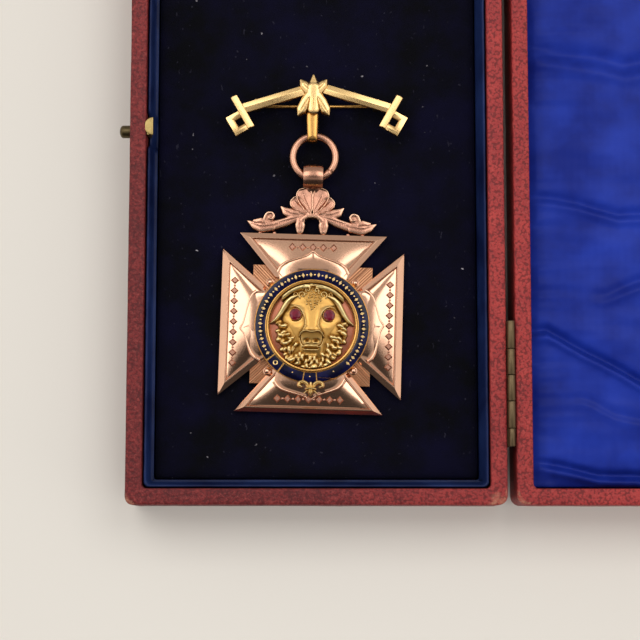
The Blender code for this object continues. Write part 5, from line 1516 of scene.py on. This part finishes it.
def makeBrooch():
    b = brooch
    top = b["back"] + b["thick"]
    bar = bmesh.new()
    bar.verts.layers.float.new("hollow")
    endX, endY = b["lowEnd"]
    for side in (-1, 1):
        joinInto(bar, stripMesh((side * endX, endY + b["breadth"] / 2), (0, b["peak"] + b["breadth"] / 2),
                                b["breadth"] * 0.95, b["back"], top))
        half, middle = b["side"] / 2, (b["side"] - b["strip"]) / 2
        knot = knotMesh(half, b["strip"], b["back"], top)
        x = -side * middle
        joinInto(knot, stripMesh((x, -half), (x, -half + b["stripLength"]), b["strip"], b["back"] + 0.2,
                                 top + b["rise"]))
        knot.transform(Matrix.Translation((side * b["knotX"], b["knotY"], 0))
                       @ Matrix.Rotation(math.radians(-side * b["turn"]), 4, "Z"))
        joinInto(bar, knot)
        for edge in (-1, 1):
            near = b["pinY"] + edge * (b["pinR"] + 0.15)
            ear = turnedPiece([(0.75, -0.3), (0.75, 0.3)], 20)
            ear.transform(Matrix.Translation((side * b["ear"], near + edge * 0.3, b["pinZ"]))
                          @ Matrix.Rotation(math.pi / 2, 4, "X"))
            joinInto(bar, ear)
            joinInto(bar, cubeMesh((side * b["ear"], near + edge * 0.3, (b["pinZ"] + b["back"]) / 2 + 0.2),
                                   (1.5, 0.6, b["back"] - b["pinZ"] + 0.3)))
    finishPiece("brooch_strapwork", bar, yellowGoldMatted, "case", ["brooch_bar"], 30)
    boss = reliefPiece(lambda gx, gy: chasedHeight(gx, gy, bossWork), (-5.2, 5.2), (4.0, 15.8), 0.1,
                       b["back"], b["back"] + 0.8, 0.3)
    finishPiece("brooch_leaf", boss, yellowGoldMatted, "case", (), 180,
                Matrix.Translation((b["bossX"], 0, 0)))
    # Strap loop round the ring's far side
    radius = b["loopHeight"] / 2
    middleZ = float(nodeMiddle("suspension_ring")[2])
    stations = [(b["loopNear"] + radius, math.pi / 2 + math.pi * i / 16) for i in range(17)]
    stations += [(b["loopFar"] - radius, -math.pi / 2 + math.pi * i / 10) for i in range(11)]
    # Section of its band: how far below its outer face, share of its half width
    outline = [(0.3, -1.0), (0.12, -0.8), (0.02, -0.4), (0.02, 0.4), (0.12, 0.8), (0.3, 1.0),
               (b["loopBand"], 1.0), (b["loopBand"], -1.0)]
    rings = []
    for centreY, angle in stations:
        share = (centreY - b["loopNear"]) / (b["loopFar"] - b["loopNear"])
        half = (b["loopNarrow"] + (b["loopWide"] - b["loopNarrow"]) * share) / 2
        rings.append([(b["loopX"] + edge * half, *onCircle(radius - below, angle, centreY, middleZ))
                      for below, edge in outline])
    loop = bmesh.new()
    loftRings(loop, rings, closed=True)
    finishPiece("brooch_loop", loop, yellowGoldBright, "case", (), 60)
    pin = bmesh.new()
    stations = [(-b["pinHalf"], 0.15), (-b["pinHalf"] + 1.0, 0.6), (-b["pinHalf"] + 2.4, 0.95),
                (b["pinHalf"] - 0.1, 1.0), (b["pinHalf"], 0.8)]
    loftRings(pin, tubeRings([(x, b["pinR"] * k) for x, k in stations], 20, (b["pinY"], b["pinZ"])))
    finishPiece("brooch_pin_wire", pin, yellowGoldBright, "case", ["brooch_pin"], 50)


makeBrooch()
print("brooch made")


# Leather shells

shellSizes = {"wall": 4.1, "floor": 3.0, "corner": 2.4, "innerCorner": 1.3, "edge": 0.7}


def shellProfile():
    # In from the outer face, height: foot, outer face, softly rounded rim, inner face
    e, wall, depth = shellSizes["edge"], shellSizes["wall"], float(caseDepth)
    points = [(0.5, 0.0), (0.18, 0.1), (0.05, 0.3), (0.0, 0.7)]
    points += [(0.0, z) for z in (4.0, 8.0, 12.0, depth - 2.0)]
    for k in range(6):
        angle = math.pi / 2 * k / 5
        points.append((e * (1 - math.cos(angle)), depth - e * 0.75 + e * 0.75 * math.sin(angle) - 0.03))
    points += [(1.4, depth), (2.2, depth), (3.0, depth - 0.02)]
    for k in range(5):
        angle = math.pi / 2 * k / 4
        points.append((wall - 0.5 + 0.5 * math.sin(angle), depth - 0.03 - 0.5 * (1 - math.cos(angle))))
    points += [(wall, depth - 2.0), (wall, 8.0), (wall, shellSizes["floor"] + 0.3),
               (wall + 0.4, shellSizes["floor"])]
    return points


def leatherShell(name, middleX, replaced, body, scars):
    profile = shellProfile()
    width, length = float(caseWidth), float(caseLength)
    bm = bmesh.new()
    layer = bm.verts.layers.float.new("worn")
    rings = []
    for inset, z in profile:
        share = min(1, inset / shellSizes["wall"])
        corner = shellSizes["corner"] + (shellSizes["innerCorner"] - shellSizes["corner"]) * share
        if inset > 0 and inset < 1:
            corner = shellSizes["corner"] - inset * 0.4
        ring = roundedRectangle(width - 2 * inset, length - 2 * inset, corner, 8, 60, 116)
        rings.append([(middleX + x, y, z) for x, y in ring])
    made = loftRings(bm, rings)
    depth = float(caseDepth)
    for (inset, z), ring in zip(profile, made):
        for vert in ring:
            x, y = vert.co.x - middleX, vert.co.y
            spot = Vector((vert.co.x, y, z)) * 0.12
            wobble = noise.noise(spot) * 0.07 + noise.noise(spot * 5) * 0.03
            outward = Vector((x, y, 0)).normalized()
            if 0.2 < z and inset < shellSizes["wall"] - 0.3:
                vert.co -= outward * (0.06 + wobble * 0.8) * (1 if inset < 1 else 0)
                vert.co.z -= (0.04 + wobble * 0.5) * (1 if z > depth - 1 else 0)
            nearCorner = max(0.0, 1 - math.hypot(width / 2 - abs(x), length / 2 - abs(y)) / 5)
            rimEdge = math.exp(-((inset - 0.35) / 0.35) ** 2) * (1 if z > depth - 0.9 else 0)
            footEdge = math.exp(-(z / 0.6) ** 2) * (1 if inset < 1 else 0)
            vert[layer] = min(1.0, 0.3 * rimEdge + 0.4 * footEdge + 0.75 * nearCorner * (0.15 + rimEdge))
            for sx, sy, radius, push, wear in scars:
                near = math.hypot(vert.co.x - sx, y - sy) / radius
                if near < 1.6 and inset < shellSizes["wall"] - 0.2:
                    vert[layer] = min(1.0, vert[layer] + wear * math.exp(-near * near))
                    vert.co += outward * push * math.exp(-near * near) * (1 if inset < 1.0 else 0.2)
    return finishPiece(name, bm, leather, body, [replaced], 60)


# Scars: x, y, radius, push outward, wear. The near left corner has a bump and the near right one a tear
leatherShell("case_leather", 0.0, "case_base", "case",
             [(-46.2, -92.2, 1.6, 0.2, 1.0), (43.8, -91.5, 2.4, 0.0, 1.0), (46.0, -88.0, 3.0, 0.0, 0.3)])
leatherShell("lid_leather", lidMiddleX, "lid_shell", "lid",
             [(50.2, -91.5, 3.5, -0.1, 0.6), (51.0, -70.0, 8.0, 0.0, 0.25)])
print("leather shells made")


# Silk strip and velvet pad

stripSizes = {"width": 2.0, "foot": 11.6, "dipTop": 12.7, "dipFrom": 2.9, "dipTo": 4.9, "dipMiddle": 1.2}


def makeSilkEdge():
    # Padded silk from the walls' rims down to the pad, cut low under the catch's hook
    low, high = nodeBox("silk_edge")
    outerW, outerL = float(high[0] - low[0]), float(high[1] - low[1])
    base, top = float(low[2]), float(high[2])
    s = stripSizes
    width = s["width"]
    # Up the wall, over its padded edge, down the slope and behind the pad
    section = [(0.0, base), (0.0, 6.0), (0.0, 11.0), (0.0, top - 0.6), (0.12, top - 0.15), (0.34, top),
               (0.6, top - 0.2), (0.85, top - 0.8), (1.15, top - 1.9), (1.45, top - 3.0),
               (1.75, top - 4.1), (width, s["foot"]), (width, 10.0), (width, 6.0), (width, base)]
    bm = bmesh.new()
    rings = []
    for inset, z in section:
        radius = max(0.4, 1.4 - inset * 0.35)
        ring = []
        for x, y in roundedRectangle(outerW - 2 * inset, outerL - 2 * inset, radius, 6, 120, 250):
            ripple = noise.noise(Vector((x, y, 0)) * 0.3) * 0.3 + noise.noise(Vector((x, y, 5)) * 1.1) * 0.1
            soft = 1.0 if z > s["foot"] - 0.1 else 0.0
            height = min(top, z + (ripple - 0.15) * soft)
            # On the left and near sides the strip is narrow and a gap parts it from the pad
            if inset > 1.2 and soft and (x < -outerW / 2 + width + 0.1 or y < -outerL / 2 + width + 0.1):
                height = min(height, 10.8)
            away = abs(y - s["dipMiddle"])
            if x < -outerW / 2 + width + 0.1 and away < s["dipTo"]:
                share = min(1.0, (s["dipTo"] - away) / (s["dipTo"] - s["dipFrom"]))
                lowered = base + (height - base) * (s["dipTop"] - base) / (top - base)
                height += (lowered - height) * share * share * (3 - 2 * share)
            ring.append((x, y, height))
        rings.append(ring)
    loftRings(bm, rings, closed=True)
    piece = finishPiece("silk_strip", bm, edgeSilk, "case", ["silk_edge"], 180)


def makePad():
    low, high = nodeBox("velvet_pad")
    middle = (low + high) / 2
    width, length = float(high[0] - low[0]), float(high[1] - low[1])
    base, top = float(low[2]), float(high[2])
    bm = bmesh.new()
    # Inset and height up its side and over its soft edge
    levels = [(0.12, base), (0.05, base + 1.5), (0.0, base + 3.0), (0.0, top - 1.6), (0.08, top - 1.1),
              (0.3, top - 0.7), (0.8, top - 0.4), (1.7, top - 0.2), (3.0, top - 0.1)]
    columns, rows, soft = 60, 130, 0.8

    def cornered(w, l, z):
        # Outline with rounded corners
        points = []
        for x, y in gridRing(columns, rows, lambda u, v: (w * u, l * (2 * v - 1))):
            over = max(0.0, abs(x) - (w - soft)), max(0.0, abs(y) - (l - soft))
            reach = math.hypot(*over)
            if reach > soft:
                x = math.copysign(w - soft + over[0] * soft / reach, x)
                y = math.copysign(l - soft + over[1] * soft / reach, y)
            points.append((middle[0] + x, middle[1] + y, z))
        return points

    made = loftRings(bm, [cornered(width / 2 - inset, length / 2 - inset, z) for inset, z in levels],
                     caps=False)
    bm.faces.new(made[0])
    w, l = width / 2 - levels[-1][0], length / 2 - levels[-1][0]

    def topAt(u, v):
        x, y = w * u, l * (2 * v - 1)
        inward = min(w - abs(x), l - abs(y))
        z = top - 0.1 * math.exp(-inward / 3.0)
        z -= 0.12 * (0.5 + 0.5 * noise.noise(Vector((x, y, 0)) * 0.06)) * min(1.0, inward / 6)
        return middle[0] + x, middle[1] + y, min(z, top)

    fillGrid(bm, made[-1], columns, rows, topAt)
    pad = finishPiece("pad_velvet", bm, velvet, "case", ["velvet_pad"], 180)


makeSilkEdge()
makePad()
print("silk strip and velvet pad made")


# Lid silk, stretched over a thin pad, with its creases

liningSizes = {"gap": 0.5, "edge": 10.6, "crown": 2.6, "spacing": 0.5, "tuck": 5.0}
liningCreases = [
    # path from the lid's middle and the case's middle; depth; half width
    ([(-42, -15.0), (-30, -16.5), (-20, -20.0), (0, -18.5), (42, -13.0)], 0.8, 1.5),
    ([(-43, -49.3), (-38.4, -49.1), (-32.2, -52.4), (-26, -55.6), (-16, -61.7), (0, -66.0), (42, -60.0)],
     1.5, 1.5),
    ([(-24, -40.0), (-16, -37.0), (6, -33.0), (42, -36.0)], 0.6, 1.6),
    ([(-40.5, -82.3), (-36, -83.2), (-26, -85.0), (-16, -85.8), (0, -85.6), (42, -82.0)], 1.4, 1.3),
    ([(-30, -66.0), (-22, -70.0), (-10, -72.0), (6, -71.0)], 0.35, 1.4),
    ([(-42, 24.0), (-18, 19.0), (14, 27.0), (42, 22.0)], 1.0, 2.8),
    ([(-42, 58.0), (-20, 64.0), (12, 57.0), (42, 62.0)], 1.1, 2.8),
]


def liningHeight(x, y, halfW, halfL):
    swell = (1 - (np.abs(x) / halfW) ** 6) * (1 - (np.abs(y) / halfL) ** 10)
    height = liningSizes["edge"] + liningSizes["crown"] * np.clip(swell, 0, None)
    for path, depth, halfWidth in liningCreases:
        px, py = zip(*path)
        line = np.interp(x, px, py) + 0.25 * np.sin(x * 0.31 + depth * 9)
        fade = np.clip((x - px[0] + 4) / 8, 0, 1) * np.clip((px[-1] + 4 - x) / 8, 0, 1)
        away = (y - line) / (halfWidth * 0.75)
        fold = np.exp(-(away**2)) - 0.6 * np.exp(-(((away + 1.9) / 0.9) ** 2))
        height = height - 1.3 * depth * fade * fold
    return height


def makeLining():
    wall, gap = shellSizes["wall"], liningSizes["gap"]
    halfW, halfL = float(caseWidth) / 2 - wall - gap, float(caseLength) / 2 - wall - gap
    columns, rows = int(2 * halfW / liningSizes["spacing"]), int(2 * halfL / liningSizes["spacing"])
    gx, gy = np.meshgrid(np.linspace(-halfW, halfW, columns + 1), np.linspace(-halfL, halfL, rows + 1))
    gz = liningHeight(gx, gy, halfW, halfL)
    # Fine pulls that run in from the glued edges, and slack between the creases
    for j in range(rows + 1):
        for i in range(columns + 1):
            x, y = gx[j, i], gy[j, i]
            edge = min(halfW - abs(x), halfL - abs(y))
            pull = noise.noise(Vector((y * 0.55, x * 0.05, 3.0))) * math.exp(-(halfW - abs(x)) / 9) * 0.5
            pull += noise.noise(Vector((x * 0.55, y * 0.05, 9.0))) * math.exp(-(halfL - abs(y)) / 7) * 0.6
            slack = noise.noise(Vector((x * 0.035, y * 0.11, 1.0))) * 0.55
            slack += noise.noise(Vector((x * 0.09, y * 0.24, 4.0))) * 0.25
            gz[j, i] += (pull + slack) * min(1.0, edge / 2.0)
    bm = bmesh.new()
    gridFaces(bm, [[bm.verts.new((lidMiddleX + gx[j, i], gy[j, i], gz[j, i])) for i in range(columns + 1)]
                   for j in range(rows + 1)])
    # The edge is tucked down inside the wall
    lowerRim(bm, liningSizes["tuck"])
    lining = finishPiece("lid_silk", bm, liningSilk, "lid", ["lid_lining"], 180)


makeLining()
print("lid silk made")


# Hinges and catch

hinges = {"near": -47.5, "pin": 0.42, "leafTop": 1.25, "leafDeep": 6.0, "leafThick": 0.4, "gap": 0.15,
          "soft": 0.14}
# Length, radius and leaf of each knuckle
hingeKnuckles = [(7.0, 1.0, "base"), (6.5, 1.0, "lid"), (6.5, 1.0, "base"), (6.7, 1.0, "lid"),
                 (4.5, 0.8, "base")]


def makeHinge(which, mirror):
    axis = next(j for j in frame["joints"] if j["name"] == "lid_hinge")["pos_m"]
    axisX, axisZ = axis[0] / mm, axis[2] / mm
    # Made for the near hinge; the far one is its mirror image
    far = hinges["near"]
    near = far - sum(k[0] for k in hingeKnuckles)
    for side, sign, body in (("base", -1, "case"), ("lid", 1, "lid")):
        leaf = bmesh.new()
        wallX = axisX + sign * 1.0
        top = axisZ - hinges["leafTop"]
        foot = top - hinges["leafDeep"]
        outline = [(far - 0.3, top), (near + 0.3, top), (near, top - 0.3), (near, foot + 0.5),
                   (near + 0.5, foot), (far - 0.5, foot), (far, foot + 0.5), (far, top - 0.3)]
        loftRings(leaf, [[(wallX - sign * t, y, z) for y, z in outline]
                         for t in (0.0, hinges["leafThick"])])
        y = far
        for length, radius, carrier in hingeKnuckles:
            start, end = y - hinges["gap"] / 2, y - length + hinges["gap"] / 2
            y -= length
            if carrier != side:
                continue
            soft = hinges["soft"]
            stations = [(start, radius - soft), (start - 0.04, radius - 0.05), (start - soft, radius),
                        (end + soft, radius), (end + 0.04, radius - 0.05), (end, radius - soft),
                        (end, 0.5), (start, 0.5)]
            barrel = bmesh.new()
            loftRings(barrel, tubeRings(stations, 32, (axisX, axisZ), True), closed=True)
            joinInto(leaf, barrel)
            lowX, highX = sorted((wallX - sign * hinges["leafThick"], axisX + sign * 0.62))
            joinInto(leaf, cubeMesh(((lowX + highX) / 2, (start + end) / 2, axisZ - 0.95),
                                    (highX - lowX, start - end - 0.3, 1.3)))
        if mirror:
            leaf.transform(Matrix.Scale(-1, 4, (0, 1, 0)))
        finishPiece(f"hinge_{which}_{side}", leaf, oldBrass, body, [f"hinge_{which}_{side}_leaf"],
                    35)
    pin = bmesh.new()
    stations = [(far - 0.22, 0.3), (far - 0.3, hinges["pin"]), (near + 0.3, hinges["pin"]),
                (near + 0.22, 0.3)]
    loftRings(pin, tubeRings(stations, 24, (axisX, axisZ), True))
    if mirror:
        pin.transform(Matrix.Scale(-1, 4, (0, 1, 0)))
    finishPiece(f"hinge_{which}_pin_wire", pin, oldBrass, "case", [f"hinge_{which}_pin"], 40)


catchSizes = {"y": 1.0, "z": 14.6, "button": 1.6, "rod": 1.1, "hookY": 1.8, "hook": 2.3, "hookThick": 0.8,
              "reach": 2.8}


def makeCatch():
    c = catchSizes
    wallX = float(caseLow[0])
    middleY, middleZ = c["y"], c["z"]
    button = bmesh.new()
    wide = c["button"]
    stations = [(0.3, wide - 0.1), (0.2, wide), (-1.9, wide), (-2.1, wide - 0.04), (-2.35, wide - 0.2),
                (-2.6, wide - 0.55), (-2.74, wide - 0.95), (-c["reach"], 0.3)]
    loftRings(button, tubeRings([(wallX + x, r) for x, r in stations], 36, (middleY, middleZ)))
    inner = wallX + shellSizes["wall"] + softGap
    rod = bmesh.new()
    loftRings(rod, tubeRings([(wallX - 1.0, c["rod"]), (inner + 0.4, c["rod"])], 24, (middleY, middleZ)))
    joinInto(button, rod)
    finishPiece("catch_button_turned", button, darkBrass, "catch", ["catch_button"], 35)
    # Half-round hook on an upright, filed to a soft edge; its flat side looks into the case
    hookTop = float(caseDepth) - 0.15
    foot = middleZ - c["rod"] - 0.3
    hook = cubeMesh((inner + 0.4, middleY, (foot + hookTop - 0.3) / 2), (0.8, 2.6, hookTop - 0.3 - foot))
    flatX = wallX + shellSizes["wall"] - 0.5 + c["hook"]
    turns = [math.pi * i / 20 for i in range(21)]
    arc = [(flatX - c["hook"] * math.sin(a), c["hookY"] + c["hook"] * math.cos(a)) for a in turns]
    middleX = flatX - c["hook"] / 2
    plate = bmesh.new()
    levels = ((0.95, hookTop - c["hookThick"]), (1.0, hookTop - 0.65), (1.0, hookTop - 0.2),
              (0.96, hookTop - 0.06), (0.88, hookTop), (0.5, hookTop))
    loftRings(plate, [[(middleX + (x - middleX) * k, c["hookY"] + (y - c["hookY"]) * k, z) for x, y in arc]
                      for k, z in levels])
    joinInto(hook, plate)
    finishPiece("catch_hook_filed", hook, rubbedBrass, "catch", (), 35)
    low, high = nodeBox("catch_keeper")
    keeper = cubeMesh((low + high) / 2, high - low)
    bmesh.ops.bevel(keeper, geom=keeper.edges[:], offset=0.14, segments=3, affect="EDGES")
    finishPiece("catch_keeper_plate", keeper, oldBrass, "lid", ["catch_keeper"], 35)


makeHinge("near", False)
makeHinge("far", True)
makeCatch()
print("hinges and catch made")


# Pale table under it all, a hair below the case's foot

tableSize, tableGap = 3000, 0.02
tableTop = bmesh.new()
bmesh.ops.create_grid(tableTop, x_segments=1, y_segments=1, size=tableSize)
tableTop.transform(Matrix.Translation((0, 0, -tableGap)))
tableTop.transform(Matrix.Scale(mm, 4))
tableMesh = bpy.data.meshes.new("table")
tableTop.to_mesh(tableMesh)
tableTop.free()
tableMesh.materials.append(table)
addObject("table", tableMesh)

print("all made")
